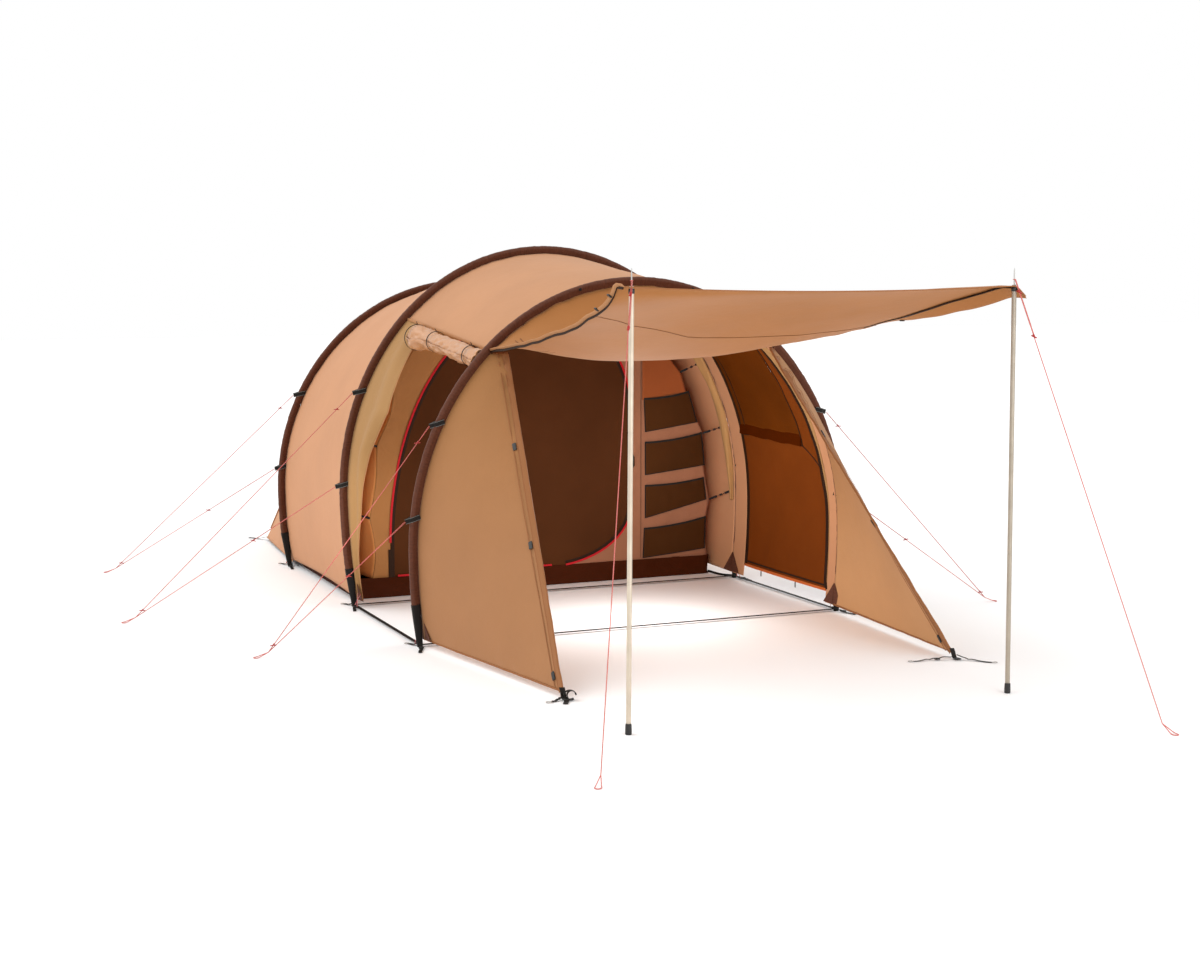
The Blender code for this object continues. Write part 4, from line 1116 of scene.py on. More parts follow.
def wing_grid(side_name):
    rows, columns = 110, 74
    reach, corner_y = WING_CORNERS[side_name]
    corner = np.array([-reach, corner_y, HEM_HEIGHT])
    tip = SEAM - 0.001
    shares = side_shares(FRONT, HEM_HEIGHT, rows, tip)
    root = on_arch(FRONT, shares, SHEET_INSET, 0.0015)
    top = on_arch(FRONT, tip, SHEET_INSET) + np.array(WING_TIP_OFFSET)
    rise = ((shares - shares[0]) / (tip - shares[0]))[:, None]
    edge = corner + (top - corner) * rise
    ways = np.linspace(0, 1, columns)[None, :, None]
    return root[:, None] + (edge[:, None] - root[:, None]) * ways


def make_wing(side_name, side):
    points = wing_grid(side_name)
    rows, columns = points.shape[:2]
    points = raised(points, 0.020 * dome(rows, columns))
    points = dented(points, 0.005, 0.34, 91)
    points = puckered(points, "right", 0.0022, 0.07, 0.05, 92)
    points = puckered(points, "low", 0.0022, 0.08, 0.05, 93)
    width = metres(points)[0][:, -1]
    normal = normals(points)[:, -1]
    edge = points[:, -1]
    inwards = unit(points[:, -2] - edge)
    flip = np.array([-side, 1.0, 1.0])
    grid = points if side < 0 else mirrored(points)
    # Each wing takes its own copy of the cloth, with its own painted shade.
    material = WING if side < 0 else SHADED_RIGHT_WING
    cloth(f"{side_name}_wing_panel", grid, material, [f"{side_name}_wing"])
    trim, stitches = Shape(), Shape()
    cover = np.minimum(WING_FOLD, width * 0.8)[:, None]
    strip_path = (edge + inwards * cover * WING_STRIP_SHARE / 2) * flip
    for lift in (0.004, -0.004):
        trim.band((strip_path + normal * flip * lift)[::2], inwards[::2] * flip,
                  cover[::2, 0] * WING_STRIP_SHARE, 0.0016)
        for share in (0.50, 0.97):
            line = (edge + inwards * cover * share) * flip
            stitches.band((line + normal * flip * lift * 1.25)[::2], inwards[::2] * flip,
                          0.004, 0.0012)
    trim.band((edge + inwards * 0.003)[::2] * flip, inwards[::2] * flip, 0.012, 0.0085)
    low = points[0] * flip
    stitches.band(low[::3] + [0, 0, 0.004], UP, 0.010, 0.004)
    trim.make(f"{side_name}_wing_trim", WING_STRIP, "tan_fabric")
    stitches.make(f"{side_name}_wing_stitches", EDGE_BINDING, "tan_fabric")
    tabs = Shape()
    for height in WING_TAB_HEIGHTS:
        row = int(np.interp(height, points[:, -1, 2], np.arange(rows)))
        spot = (edge[row] + inwards[row] * min(0.050, width[row] * 0.6))
        tangent = edge[min(row + 3, rows - 1)] - edge[row]
        for lift in (0.0066, -0.0066):
            tabs.block((spot + normal[row] * lift) * flip, tangent * flip, inwards[row] * flip,
                       (0.040, 0.020, 0.005))
    tabs.make(f"{side_name}_wing_tabs", PLASTIC, "black_webbing")


def hump(share, rise, fall):
    """0 at both ends of a span and 1 at its peak; the powers set where the peak lies."""
    peak = rise / (rise + fall)
    return (share / peak) ** rise * ((1 - share) / (1 - peak)) ** fall


def canopy_grid():
    """Rows run from the arch's left seam to its right seam; columns run to the front edge."""
    rows, columns = 160, 112
    across = np.linspace(0, 1, rows)[:, None]
    shares = SEAM + (1 - 2 * SEAM) * across[:, 0]
    root = on_arch(FRONT, shares, SHEET_INSET, 0.0015)[:, None]
    ways = np.linspace(0, 1, columns)[None, :]
    slack = np.minimum(ways / CANOPY_BAND, 1.0)
    span = 4 * across * (1 - across)
    front_x = CANOPY_LEFT_X + (CANOPY_HALF_WIDTH - CANOPY_LEFT_X) * across
    x = root[..., 0] + (front_x - root[..., 0]) * ways
    y = root[..., 1] + (CANOPY_FRONT_Y + 0.018 * span - root[..., 1]) * ways
    z = root[..., 2] + (CANOPY_FRONT_Z - CANOPY_LIP_SAG * span - root[..., 2]) * slack
    z = z - CANOPY_SAG * span * (1 + CANOPY_SAG_LEAN * (1 - 2 * across)) \
        * hump(slack, *CANOPY_SAG_SHAPE)
    z = z - CANOPY_LEFT_SAG * (1 - across) ** 2 * hump(slack, *CANOPY_LEFT_SHAPE)
    z = z - CANOPY_RIGHT_SAG * across ** 2 * hump(slack, 1.0, 1.0)
    beyond = np.clip((across - 1 + CANOPY_FLAP_SHARE) / CANOPY_FLAP_SHARE, 0, 1)
    toward = np.clip((ways - 0.42) / 0.45, 0, 1)
    hang = beyond * toward * toward * (3 - 2 * toward)
    return np.stack([x - 0.022 * hang, y, z - CANOPY_FLAP_DROP * hang], -1)


def on_grid(points, rows, columns):
    """Points of a grid at fractional rows and columns."""
    r = np.clip(rows, 0, points.shape[0] - 1.001)
    c = np.clip(columns, 0, points.shape[1] - 1.001)
    r0, c0 = r.astype(int), c.astype(int)
    fr, fc = (r - r0)[:, None], (c - c0)[:, None]
    low = points[r0, c0] * (1 - fc) + points[r0, c0 + 1] * fc
    high = points[r0 + 1, c0] * (1 - fc) + points[r0 + 1, c0 + 1] * fc
    return low * (1 - fr) + high * fr


def make_canopy():
    points = canopy_grid()
    points = dented(points, 0.006, 0.33, 101)
    for edge in ("low", "high"):
        points = puckered(points, edge, 0.006, 0.26, 0.10, 103)
    points = puckered(points, "left", 0.003, 0.07, 0.06, 104)
    cloth("canopy_panel", points, CANOPY, ["front_canopy"])
    canopy_edges(points)
    canopy_seams(points)
    canopy_fittings(points)


def canopy_edges(points):
    """The binding, the zips and the turned-up flap along the canopy's edges."""
    rows, columns = points.shape[:2]
    normal = normals(points)
    single_band("canopy_binding", EDGE_BINDING, "tan_fabric", points[::2, -1], BACK, 0.016, 0.005)
    zips = Shape()
    zips.band(points[0, ::2] - [0, 0, 0.005], [0.3, 0, 1.0], 0.014, 0.004)
    flap_row = rows * (1 - CANOPY_FLAP_SHARE)
    along = np.linspace(0.44, 0.985, 50) * (columns - 1)
    path = on_grid(points, flap_row + 0 * along, along)
    under = on_grid(normal, flap_row + 0 * along, along)
    width = np.interp(along / columns, (0.44, 0.62, 0.95), (0.004, 0.020, 0.022))
    for lift in (-0.0030, 0.0030):
        zips.band(path + under * lift, RIGHT, width, 0.002)
    zips.make("canopy_zips", ZIP, "brown_sleeve")
    edge = resampled(points[0], 60)
    width = np.interp(np.linspace(0, 1, 60), (0, 0.8, 1), (0.013, 0.017, 0.022))
    single_band("canopy_left_flap", TAN_BINDING, "tan_fabric", edge + FLAP_LEAN * 0.008,
                FLAP_LEAN, width, 0.0022)


def canopy_seams(points):
    rows, columns = points.shape[:2]
    normal = normals(points)
    seams = Shape()
    line = resampled(np.array(CANOPY_SEAM), 90)
    place = line * [rows - 1, columns - 1]
    for lift in (-0.0012, 0.0012):
        seams.band(on_grid(points, place[:, 0], place[:, 1])
                   + on_grid(normal, place[:, 0], place[:, 1]) * lift, BACK, 0.006, 0.0016)
    for row in (0.070 * rows, 0.088 * rows):
        along = np.linspace(0.05, 0.32, 30) * columns
        seams.band(on_grid(points, row + 0 * along, along)
                   + on_grid(normal, row + 0 * along, along) * 0.0008, [1.0, 0, 0.4], 0.005, 0.003)
    seams.make("canopy_seams", SEAM_LINE, "tan_fabric")


def canopy_fittings(points):
    """Tabs on the canopy's edges, and the eyelets over its poles."""
    rows, columns = points.shape[:2]
    edge = resampled(points[0], 60)
    tabs = Shape()
    for share in FLAP_TAB_SHARES:
        spot = edge[int(share * 59)] + FLAP_LEAN * 0.016
        tabs.block(spot, -BACK, FLAP_LEAN, (0.022, 0.020, 0.006))
    spot = on_grid(points, np.array([rows * 0.985]), np.array([columns * 0.56]))[0]
    tabs.block(spot - [0, 0, 0.004], -BACK, RIGHT, (0.026, 0.014, 0.005))
    tabs.make("canopy_tabs", PLASTIC, "black_webbing")
    eyelets = Shape()
    for _, side in SIDES:
        ring(eyelets, np.array([side * POLE_HEAD[0], POLE_HEAD[1], CANOPY_FRONT_Z + 0.001]),
             0.0075, 0.0022)
    eyelets.make("canopy_eyelets", STEEL, "pole_alloy")


def pole_ends(side_name, side, top):
    """A canopy pole's foot, and the point at its head where it reaches a height."""
    base = np.array([*POLE_BASES[side_name], 0.0])
    return base, np.array([side * POLE_HEAD[0], POLE_HEAD[1], top])


def turned(name, material, slot, start, axis, steps, radii, sides, nodes=(), sharp_angle=60):
    """A round piece on an axis, with its radii at steps along it."""
    shape = Shape()
    shape.tube(start + axis * np.array(steps)[:, None], radii, sides)
    shape.make(name, material, slot, nodes, sharp_angle)


def make_canopy_pole(side_name, side):
    base, head = pole_ends(side_name, side, CANOPY_FRONT_Z - 0.0028)
    length = np.linalg.norm(head - base)
    axis = (head - base) / length
    profile = [(0.044, POLE_RADIUS - 0.001), (0.046, POLE_RADIUS)]
    for joint in POLE_JOINTS:
        profile += [(joint - 0.0012, POLE_RADIUS), (joint - 0.0006, POLE_RADIUS - 0.0010),
                    (joint + 0.0006, POLE_RADIUS - 0.0010), (joint + 0.0012, POLE_RADIUS)]
    profile += [(length - 0.006, POLE_RADIUS), (length, POLE_RADIUS - 0.0015)]
    # The left pole's alloy is the lit copy and the right pole's is the shaded copy.
    turned(f"{side_name}_pole_tube", LIT_ALLOY if side < 0 else SHADED_ALLOY, "pole_alloy", base, axis,
           *zip(*profile), 24, [f"{side_name}_canopy_pole"], 50)
    turned(f"{side_name}_pole_collar", RUBBER, "rubber", base, axis,
           [length - 0.024, length - 0.022, length - 0.006, length - 0.004],
           [0.0112, 0.0128, 0.0128, 0.0112], 20)
    turned(f"{side_name}_pole_spike", STEEL, "pole_alloy", base, axis,
           [length - 0.001, length + 0.055, length + 0.070, length + 0.0785],
           [0.0029, 0.0029, 0.0024, 0.0008], 14)
    turned(f"{side_name}_pole_boot", RUBBER, "rubber", base, UP,
           [0.0005, 0.003, 0.010, 0.030, 0.040, RUBBER_HEIGHT],
           [0.0125, 0.0138, 0.0140, 0.0135, 0.0130, 0.0118], 24, [f"{side_name}_pole_foot"])


# Guy lines

def runner(shape, centre, direction):
    """A small three-hole line runner."""
    direction = unit(direction)
    across = np.cross(direction, UP)
    tilt = direction * 0.8 + np.array([0, 0, 0.6])
    shape.block(centre, tilt, across, (0.030, 0.011, 0.004))
    shape.block(centre - tilt * 0.004 + [0, 0, 0.004], direction, across, (0.012, 0.010, 0.006))


def make_guys():
    runners = Shape()
    for label, arch in ARCHES:
        for side_name, side in SIDES:
            guy_pair(runners, f"{label}_{side_name}", arch, side, guy_peg(label, side))
    for side_name, side in SIDES:
        canopy_guy(runners, side_name, side)
    runners.make("line_runners", RED_PLASTIC, "guy_cord")


def guy_eye(line, ground, out, across, back, overlap, count, meet):
    """The loop at a guy line's lower end, which its peg goes through."""
    turns = np.linspace(-overlap, np.pi + overlap, count)[:, None]
    eye = ground - out * back + across * np.cos(turns) + out * (back - 0.001) * np.sin(turns)
    line.tube(rounded(np.concatenate([[meet], eye, [meet]]), 30, 2), GUY_RADIUS, 6)


def guy_pair(runners, name, arch, side, peg):
    upper, lower = [(on_arch(arch, station / STATIONS)
                     - TAB_TIE * tab_axis(arch, station / STATIONS, peg)) * [-side, 1, 1]
                    for station in GUY_STATIONS]
    ground = np.array([peg[0], peg[1], 0.0030])
    out, across = flat_axes(*(ground - upper)[:2])
    meet = ground - out * 0.075 + [0, 0, 0.022]
    knot = upper + (meet - upper) * 0.075
    grip = lower + (meet - lower) * 0.42
    line = Shape()
    guy_eye(line, ground, out, across * 0.017, 0.020, 0.0, 9, meet)
    for start, join, narrowing in ((upper, knot, 0.1), (lower, grip, 0.5)):
        for shift in (-GUY_SPREAD, GUY_SPREAD):
            line.tube([start + BACK * shift, join + BACK * shift * narrowing], 0.0012, 6)
        line.tube([join, join + (meet - join) * 0.5, meet], GUY_RADIUS, 6)
    line.make(f"{name}_guys", CORD, "guy_cord", [f"{name}_guy_lines"], None)
    runner(runners, knot, meet - upper)
    runner(runners, grip, meet - lower)
    runner(runners, meet + (upper - meet) * 0.03, meet - upper)


def canopy_guy(runners, side_name, side):
    base, head = pole_ends(side_name, side, CANOPY_FRONT_Z)
    spike = base + (head - base) * (GUY_SPIKE_Z / CANOPY_FRONT_Z)
    ground = np.array([*CANOPY_PEGS[side_name], 0.0030])
    out, across = flat_axes(*(ground - spike)[:2])
    start = spike + out * 0.0045
    across = across * 0.014
    meet = ground - out * 0.085 + [0, 0, 0.030]
    grip = start + (meet - start) * (0.104 if side < 0 else 0.137)
    line = Shape()
    guy_eye(line, ground, out, across, 0.018, 0.6, 12, meet)
    line.tube([start, start + (meet - start) * 0.5, meet], GUY_RADIUS, 6)
    line.tube([start + across * 0.3, grip + across * 0.3], 0.0015, 6)
    ring(line, spike + [0, 0, 0.001], 0.0055, 0.0016)
    line.make(f"{side_name}_canopy_guy", CORD, "guy_cord", [f"{side_name}_canopy_guy_line"], None)
    runner(runners, grip, meet - start)
    runner(runners, start + (meet - start) * 0.030, meet - start)


# Inner tent

def inner_outline(shares):
    """The front wall's outline in its plane: drawn in between the hangers, and on the left."""
    x, z = outline(INNER_FRONT, shares)
    holds = np.array([0.06, 0.46, 0.88, 1.24, 1.62])
    place = np.interp(z, holds, np.arange(len(holds)))
    dip = np.where((z > holds[0]) & (z < holds[-1]), np.sin(np.pi * (place % 1.0)), 0.0)
    drawn = np.where(x < 0, INNER_PULL * np.clip((1.45 - z) / 0.40, 0, 1), 0.0)
    return x * (1 - INNER_SCALLOP * dip) + drawn, z


def door_left(count):
    turn = np.linspace(0, np.pi / 2, count)
    x = DOOR_MIDDLE_X - DOOR_LEFT_REACH * np.cos(turn)
    z = DOOR_LEFT_SPRING + (DOOR_TOP_Z - DOOR_LEFT_SPRING) * np.sin(turn)
    path = np.concatenate([[[x[0], INNER_LOW]], np.stack([x, z], -1)])
    return resampled(path, count)


def door_right(count):
    turn = np.linspace(0, np.pi / 2, 60)
    power = 2.0 / 2.4
    x = DOOR_MIDDLE_X + DOOR_RIGHT_REACH * np.sin(turn) ** power
    z = DOOR_RIGHT_SPRING + (DOOR_TOP_Z - DOOR_RIGHT_SPRING) * np.cos(turn) ** power
    corner = np.stack([0.05 + 0.54 * np.cos(turn), 0.45 - 0.34 * np.sin(turn)], -1)
    corner = corner[corner[:, 1] > INNER_LOW]
    path = np.concatenate([np.stack([x, z], -1), corner])
    return resampled(path, count)


def wall_grid(edge_a, edge_b, columns, y):
    """A ruled grid between two (x, z) edges in the plane of the front wall."""
    ways = np.linspace(0, 1, columns)[None, :, None]
    flat = edge_a[:, None] + (edge_b[:, None] - edge_a[:, None]) * ways
    return np.stack([flat[..., 0], np.full(flat.shape[:2], y), flat[..., 1]], -1)


def make_inner_front():
    rows = 96
    y = INNER_FRONT.y + 0.0015
    left_door, right_door = door_left(rows), door_right(rows)[::-1]
    door = wall_grid(left_door, right_door, 72, y)
    door = dented(door, 0.008, 0.28, 111)
    cloth("inner_netting_door", door, NET, ["inner_mesh_door"])
    low = share_at(INNER_FRONT, INNER_LOW)
    peak = 0.5 - 0.035
    left_edge = np.stack(inner_outline(np.linspace(low, peak, rows)), -1)
    panel = wall_grid(left_door, resampled(left_edge, rows), 30, y)
    panel = dented(panel, 0.007, 0.20, 112)
    # This panel's cloth is a darkened copy, as painted shade.
    cloth("inner_left_panel", panel, SHADED_INNER_PANEL, ["inner_front_left_panel"])
    right_edge = np.stack(inner_outline(np.linspace(1 - low, peak, rows)), -1)
    panel = wall_grid(right_door, resampled(right_edge, rows), 44, y)
    panel = puckered(panel, "left", 0.006, 0.07, 0.10, 113)
    panel = dented(panel, 0.005, 0.12, 114)
    cloth("inner_right_panel", panel, INNER_SALMON,
          ["inner_front_right_panel"])
    upper = np.array([[0.662, z] for z in np.linspace(1.085, 1.50, 30)])
    shares = [1 - share_at(INNER_FRONT, z) for z in np.linspace(1.125, 1.50, 30)]
    outer = np.stack(inner_outline(np.array(shares)), -1) - [0.004, 0]
    patch = wall_grid(upper, outer, 24, y - 0.006)
    patch = dented(patch, 0.002, 0.15, 115)
    cloth("inner_upper_panel", patch, INNER_RED, ())
    trim_inner_front(left_door, right_door, y)


def trim_inner_front(left_door, right_door, y):
    """Zips, rim and seam of the inner tent's front wall."""
    zips = Shape()
    flat = lambda path, lift: np.stack([path[:, 0], np.full(len(path), y - lift), path[:, 1]], -1)
    left_line = flat(left_door[::2], 0.004)
    right_line = flat(right_door[::2], 0.004)
    red_left = left_line[left_line[:, 2] > 0.285]
    for path in (red_left, right_line):
        square = np.cross(np.gradient(path, axis=0), BACK)
        zips.band(path, square, 0.012, 0.005)
    zips.band([[x, y - 0.012, TRAY_HEIGHT + 0.003] for x in np.linspace(-0.88, 0.07, 30)],
              UP, 0.011, 0.005)
    zips.make("inner_door_zips", RED_ZIP, "terracotta_fabric")
    rim = Shape()
    black_left = left_line[left_line[:, 2] < 0.31]
    rim.band(black_left, RIGHT, 0.024, 0.0052)
    for path in (left_line, right_line):
        square = unit(np.cross(np.gradient(path, axis=0), BACK))
        sense = np.sign((np.array([DOOR_MIDDLE_X, 0, 0.8]) - path)[:, [0, 2]]
                        * square[:, [0, 2]]).sum(axis=1, keepdims=True)
        rim.band(path + square * np.where(sense > 0, 0.014, -0.014), square, 0.018, 0.004)
    rim.make("inner_door_rim", ZIP, "brown_sleeve")
    single_band("inner_panel_seam", SALMON_SEAM, "terracotta_fabric",
                [[0.655, y - 0.004, z] for z in np.linspace(0.13, 1.34, 30)], RIGHT, 0.006, 0.003)


def make_pockets():
    bindings = Shape()
    for index, corners in enumerate(POCKETS, start=1):
        top_left, top_right, low_right, low_left = [np.array(c) for c in corners]
        u = np.linspace(0, 1, 36)[None, :, None]
        v = np.linspace(0, 1, 26)[:, None, None]
        low = low_left + (low_right - low_left) * u
        high = top_left + (top_right - top_left) * u
        flat = low + (high - low) * v
        u, v = u[..., 0], v[..., 0]
        belly = 0.0125 * (4 * u * (1 - u)) ** 0.6 * np.sin(np.pi * np.clip(0.12 + 0.70 * v, 0, 1))
        ripple = 0.0022 * noise(u * 9 + 0 * v, v * 2.2 + 0 * u, 120 + index) * (0.3 + v)
        depth = 0.003 + belly + ripple * (4 * u * (1 - u)) ** 0.5
        points = np.stack([flat[..., 0], INNER_FRONT.y - 0.001 - depth, flat[..., 1]], -1)
        points[..., 2] -= 0.010 * (4 * u * (1 - u)) * v
        cloth(f"pocket_netting_{index}", points, POCKET_NET,
              [f"storage_pocket_{index}"])
        bindings.band(points[-1] - [0, 0.0005, 0.004], UP, 0.011, 0.0035)
        bindings.band(points[0] - [0, 0.0005, -0.002], UP, 0.005, 0.0030)
        for column in (0, -1):
            bindings.band(points[:, column] - [0, 0.0005, 0], RIGHT, 0.006, 0.0030)
    bindings.make("pocket_bindings", STRAP, "black_webbing")


def make_tray():
    """The groundsheet: one sheet laid flat and turned up round its edge, creased at the turn."""
    right = [TRAY_FRONT_CORNER, TRAY_BEND, TRAY_REAR_CORNER]
    left = [(-x, y) for x, y in right]
    corners = [left[0], *right, *left[::-1]]
    columns = 300
    rim = resampled(np.array(corners), columns)
    middle = np.array([0.0, 1.25])
    out = unit(rim - middle)
    run = np.r_[0.0, np.linalg.norm(np.diff(rim, axis=0), axis=1).cumsum()]
    rows = []
    for share in np.linspace(0.04, 1, 24):
        flat = middle + (rim - middle) * share
        lift = 0.0030 + 0.004 * np.abs(noise(flat[:, 0] * 5, flat[:, 1] * 5, 131)) * (1 - share)
        rows.append(np.stack([flat[:, 0], flat[:, 1], lift], -1))
    for height in np.linspace(0.008, TRAY_HEIGHT - 0.002, 14):
        rise = height / TRAY_HEIGHT
        crease = 0.006 * noise(run / 0.055 + 1.5 * rise, rise * 1.5 + 0 * run, 132)
        crease = crease - 0.004 * np.sin(np.pi * rise)
        wall = rim + out * (crease - 0.003)[:, None]
        rows.append(np.stack([wall[:, 0], wall[:, 1], np.full(columns, height)], -1))
    points = np.array(rows)
    points[:, -1] = points[:, 0]
    cloth("inner_groundsheet", points, TRAY, ["groundsheet"],
          seam_closed=True)


def make_inner_body():
    rows, columns = 150, 48
    shares = full_span(INNER_FRONT, INNER_REAR, rows, INNER_LOW)
    points = between(INNER_FRONT, INNER_REAR, *shares, np.linspace(0.006, 0.998, columns), 0.0015)
    edge_x = inner_outline(shares[0])[0]
    ways = np.linspace(0, 1, columns)[None, :]
    points[..., 0] += (edge_x - points[:, 0, 0])[:, None] * (1 - ways) ** 2
    points = raised(points, -0.030 * across_hump(columns))
    points = dented(points, 0.010, 0.25, 141)
    # The inner cloth is brightened as painted light.
    cloth("inner_body", points, INNER,
          ["inner_left_wall", "inner_roof", "inner_right_wall"])
    points = sloping(INNER_REAR, TRAY_REAR_CORNER, INNER_LOW, 0.0020,
                     INNER_LOW, 140, 40)
    points = raised(points, 0.030 * dome(*points.shape[:2]) ** 0.8)
    points = dented(points, 0.010, 0.25, 142)
    cloth("inner_rear_panel", points, INNER, ["inner_rear_wall"])


def make_hangers():
    """Elastics with toggles from the inner tent's front edge to the outer tent."""
    for side_name, side in SIDES:
        straps = Shape()
        for low, high in HANGER_HEIGHTS:
            share = share_at(INNER_FRONT, low)
            x, z = inner_outline(np.array([share if side < 0 else 1 - share]))
            inner = np.array([x[0], INNER_FRONT.y, z[0]])
            outer = on_arch(MIDDLE, share_at(MIDDLE, high), 0.050) * 0.965
            outer = outer + on_arch(REAR, share_at(REAR, high), 0.050) * 0.035
            outer = outer * [-side, 1, 1]
            straps.tube([inner, (inner + outer) / 2, outer], 0.0016, 8)
            for start, stop in ((0.0, 0.36), (0.48, 0.60), (0.72, 1.0)):
                ends = inner + (outer - inner) * np.array([[start], [stop]])
                middle = ends.mean(axis=0)
                length = np.linalg.norm(ends[1] - ends[0])
                straps.block(middle, outer - inner, UP, (length, 0.013, 0.004))
        straps.make(f"{side_name}_hangers", STRAP, "black_webbing",
                    [f"{side_name}_inner_hanger"])


# Straps on the ground

def ground_strap(shape, start, heading, length, width=0.018, seed=0):
    """A loose end of webbing that lies on the ground in low humps."""
    heading, square = flat_axes(*heading)
    t = np.linspace(0, 1, 22)
    drift = 0.10 * length * noise(t * 2.2, 0 * t, 150 + seed)
    lift = 0.012 * np.abs(noise(t * 4.5, 0 * t, 160 + seed)) * (1 - t)
    lift = 0.0035 + lift + 0.010 * (1 - t) ** 3
    path = np.asarray(start)[None] * [1, 1, 0] + heading * (t * length)[:, None]
    path = path + square * drift[:, None] + UP * lift[:, None]
    shape.band(path, square, width, 0.0020)
    return path[-1]


def buckle(shape, centre, heading, size=0.028):
    """A ladder-lock buckle lying flat."""
    heading, square = flat_axes(*heading)
    for step in (-1, 0, 1):
        shape.block(np.asarray(centre) + heading * step * size * 0.42, square, heading,
                    (size, 0.006, 0.006))
    for step in (-1, 1):
        shape.block(np.asarray(centre) + square * step * size * 0.44, heading, UP,
                    (size, 0.006, 0.005))


def make_ground_trim():
    straps, rings, cords, buckles = Shape(), Shape(), Shape(), Shape()
    seed = 0
    for label, arch in ARCHES:
        for side_name, side in SIDES:
            seed += 1
            toe = on_arch(arch, 0.0, 0.022) * [-side, 1, 0]
            out = np.array([side, 0.0, 0.0])
            end = ground_strap(straps, toe + [0, 0.014, 0], (side * 0.5, 1.0), 0.085, seed=seed)
            ring(rings, end * [1, 1, 0] + out * 0.006 + [0, 0, 0.004], 0.012, 0.0018)
            ground_strap(straps, toe - [0, 0.014, 0], (side * 0.25, -1.0), 0.14, seed=seed + 20)
            buckle(buckles, toe + [side * 0.012, -0.055, 0.008], (side * 0.25, -1.0), 0.024)
            elastic_cross(cords, toe, side, -1.0 if label == "middle" else 1.0)
    for side_name, side in SIDES:
        wing_peg(straps, buckles, rings, side_name, side)
    corner_straps(straps)
    straps.make("foot_straps", STRAP, "black_webbing")
    rings.make("peg_rings", STEEL, "pole_alloy")
    cords.make("foot_elastics", ELASTIC, "guy_cord", (), None)
    buckles.make("strap_buckles", PLASTIC, "black_webbing")


def elastic_cross(cords, toe, side, toward):
    """Two crossed elastics that pull the hem down beside a foot."""
    low, high = 0.010, 0.078
    inner, outer = 0.022 * toward, 0.070 * toward
    x_low, x_high = toe[0] + side * 0.006, toe[0] - side * 0.014
    for y_low, y_high in ((inner, outer), (outer, inner)):
        cords.tube([[x_low, toe[1] + y_low, low], [x_high, toe[1] + y_high, high]], 0.0019, 8)
    cords.tube([[x_low, toe[1] + inner, low], [x_low, toe[1] + outer, low]], 0.0022, 8)


def wing_peg(straps, buckles, rings, side_name, side):
    """The strap that pegs a wing's corner down."""
    reach, corner_y = WING_CORNERS[side_name]
    corner = np.array([side * reach, corner_y, HEM_HEIGHT])
    drop = [corner + [0, 0.010, 0.020], corner + [0, -0.004, 0.0], corner + [0, -0.012, -0.020],
            corner + [0, -0.030, -0.026]]
    straps.band(rounded(drop, 16), [1.0, 0.2, 0], 0.028, 0.003)
    buckle(buckles, corner + [0, -0.040, -0.022], (0, -1.0), 0.026)
    if side < 0:
        ground_strap(straps, corner + [-0.01, -0.02, 0], (-0.80, -0.30), 0.060, 0.016, 31)
        ground_strap(straps, corner + [0.0, -0.03, 0], (-0.35, -0.95), 0.075, 0.022, 37)
        turns = np.linspace(0.0, 1.7 * np.pi, 24)[:, None]
        for reach, lift, y in ((0.026, -0.006, -0.030), (0.018, -0.004, -0.045)):
            loop = corner + [0.022, y, lift] + np.array([reach, -0.3 * reach, 0]) \
                * np.cos(turns) + np.array([0, 0, 0.020]) * np.sin(turns)
            straps.band(loop, [0.2, 1.0, 0], 0.020, 0.0025)
        ring(rings, corner + [-0.082, -0.045, -0.026], 0.013, 0.0020)
    else:
        end = ground_strap(straps, corner + [0, -0.03, 0], (0.75, -0.75), 0.17, 0.014, 33)
        ring(rings, end * [1, 1, 0] + [0.010, -0.010, 0.004], 0.012, 0.0020)
        end = ground_strap(straps, corner + [-0.02, -0.02, 0], (-1.0, 0.25), 0.20, 0.010, 34)
        ring(rings, end * [1, 1, 0] + [-0.012, 0, 0.004], 0.012, 0.0020)
        buckle(buckles, corner + [-0.09, 0.0, -0.022], (-1.0, 0.2), 0.022)


def corner_straps(straps):
    """Webbing from the inner tent's front corners to the middle arch's feet."""
    for _, side in SIDES:
        start = np.array([side * 1.115, 0.205, 0.016])
        foot = on_arch(MIDDLE, 0.0, 0.024) * [-side, 1, 0] + [0, 0.016, 0.010]
        straps.band(rounded([start, (start + foot) / 2 - [0, 0, 0.008], foot], 12),
                    [0.3, 0, 1.0], 0.014, 0.002)


def corner_patches():
    """Dark patches sewn where the hems meet the feet, on the inside."""
    patches = Shape()
    for arch in (MIDDLE, FRONT):
        for _, side in SIDES:
            foot = on_arch(arch, low_share(arch, 0.034), SHEET_INSET + 0.002)
            high = on_arch(arch, low_share(arch, 0.150), SHEET_INSET + 0.002)
            for toward in (1, -1):
                rings = []
                for t in np.linspace(0, 1, 5):
                    spot = foot + (high - foot) * t
                    reach = 0.095 * (1 - t) + 0.004
                    a, b = spot + [0, 0.002 * toward, 0], spot + [0, reach * toward, 0]
                    rings.append(np.array([a, b, b + [0.0022, 0, 0], a + [0.0022, 0, 0]])
                                 * [-side, 1, 1])
                patches.rings(rings)
    patches.make("corner_patches", SLEEVE, "brown_sleeve")


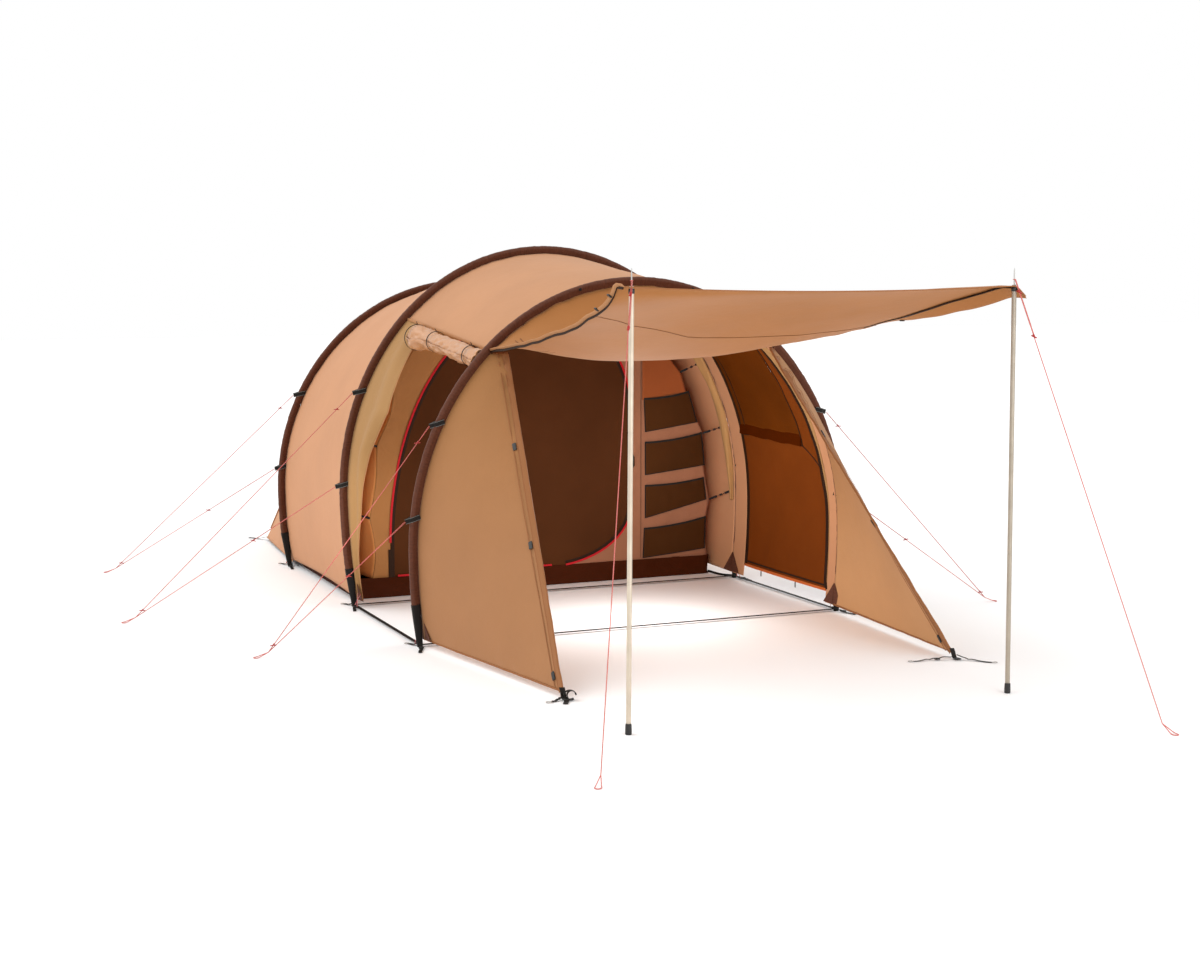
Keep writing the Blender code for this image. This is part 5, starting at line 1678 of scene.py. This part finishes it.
def make_right_inner_flap():
    """The storm flap gathered against the wall behind the middle arch on the right."""
    rows, columns = 90, 18
    high = np.linspace(0.47, 1.66, rows)
    shares = np.array([share_at(MIDDLE, z) for z in high])
    point, inward = arch_axes(MIDDLE, shares)
    z = point[:, 2][:, None]
    u = np.linspace(0, 1, columns)[None, :]
    width = 0.035 + 0.040 * np.clip((z - 0.47) / 0.5, 0, 1)
    depth = 0.050 + 0.024 * np.sin(np.pi * u) + 0.010 * u + 0.006 * noise(u * 3, z * 6, 171)
    back = 0.004 + width * u + 0.008 * np.sin(2 * np.pi * u + 3 * z)
    points = point[:, None] + inward[:, None] * depth[..., None]
    points = points + BACK * back[..., None]
    cloth("right_inner_flap", points * [-1, 1, 1], FLAP, ())


# Materials for the parts that keep their own shape

def dress_frame():
    for name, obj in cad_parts.items():
        if name.endswith(("arch_pole", "base_strap", "cross_strap")):
            obj.data.materials.clear()
            obj.data.materials.append(LIT_ALLOY if name.endswith("arch_pole") else STRAP)


# Stage

def make_stage():
    mesh = bpy.data.meshes.new("floor")
    ends = ((-1, -1), (1, -1), (1, 1), (-1, 1))
    corners = [(x * FLOOR_REACH, y * FLOOR_REACH, 0) for x, y in ends]
    mesh.from_pydata(corners, [], [(0, 1, 2, 3)])
    n = Nodes("pale_floor", FLOOR_LIGHT, 0.9)
    patches = n.ramp(n.noise(n.spot, 0.7, 2.0), 0.3, 0.7)
    n.link(n.mix(patches, FLOOR_LIGHT, FLOOR_SHADE), "Base Color")
    mesh.materials.append(n.material)
    floor = bpy.data.objects.new("floor", mesh)
    bpy.context.scene.collection.objects.link(floor)
    world = bpy.data.worlds.new("studio")
    world.use_nodes = True
    background = world.node_tree.nodes["Background"]
    background.inputs["Color"].default_value = (1.0, 1.0, 1.0, 1.0)
    background.inputs["Strength"].default_value = 1.0
    bpy.context.scene.world = world


def add_light(kind, name, location, aim, energy, **settings):
    data = bpy.data.lights.new(name, kind)
    data.energy = energy
    for key, value in settings.items():
        setattr(data, key, value)
    light = bpy.data.objects.new(name, data)
    light.visible_camera = False
    light.location = location
    light.rotation_euler = (Vector(aim) - Vector(location)).to_track_quat("-Z", "Y").to_euler()
    bpy.context.scene.collection.objects.link(light)


def make_camera():
    data = bpy.data.cameras.new("camera")
    data.sensor_width = CAMERA_SENSOR
    data.lens = CAMERA_LENS
    camera = bpy.data.objects.new("camera", data)
    camera.location = CAMERA_PLACE
    camera.rotation_euler = (math.pi / 2 - CAMERA_DOWN, 0.0, -CAMERA_RIGHT)
    bpy.context.scene.collection.objects.link(camera)
    bpy.context.scene.camera = camera
    bpy.context.scene.view_settings.view_transform = "Standard"


make_camera()
make_stage()
add_light("SUN", "key", (-6.0, 3.5, 7.0), (0.0, 0.0, 0.0), 1.2, angle=math.radians(55))
add_light("AREA", "front_fill", (1.5, -9.5, 3.2), (0.1, -0.3, 0.7), 200.0, size=5.0)
add_light("POINT", "porch_fill", (0.10, -0.30, 0.65), (0.0, 0.0, 0.0), 28.0,
          shadow_soft_size=0.35)
add_light("SPOT", "doorway_fill", (-2.30, -2.60, 0.70), (-1.16, 0.72, 0.52), 190.0,
          spot_size=math.radians(13), spot_blend=1.0, shadow_soft_size=0.15)
add_light("SPOT", "side_fill", (-0.40, -1.60, 1.00), (1.12, 0.78, 0.85), 105.0,
          spot_size=math.radians(34), spot_blend=1.0, shadow_soft_size=0.20)
make_arches()
make_rear_fly()
make_rear_end()
make_front_roof()
make_strips()
make_storm_flap()
make_door_roll()
make_right_door()
make_right_inner_flap()
for wing_name, wing_side in SIDES:
    make_wing(wing_name, wing_side)
make_canopy()
for pole_name, pole_side in SIDES:
    make_canopy_pole(pole_name, pole_side)
make_guys()
make_inner_front()
make_pockets()
make_tray()
make_inner_body()
make_hangers()
make_ground_trim()
corner_patches()
dress_frame()

bpy.context.view_layer.update()
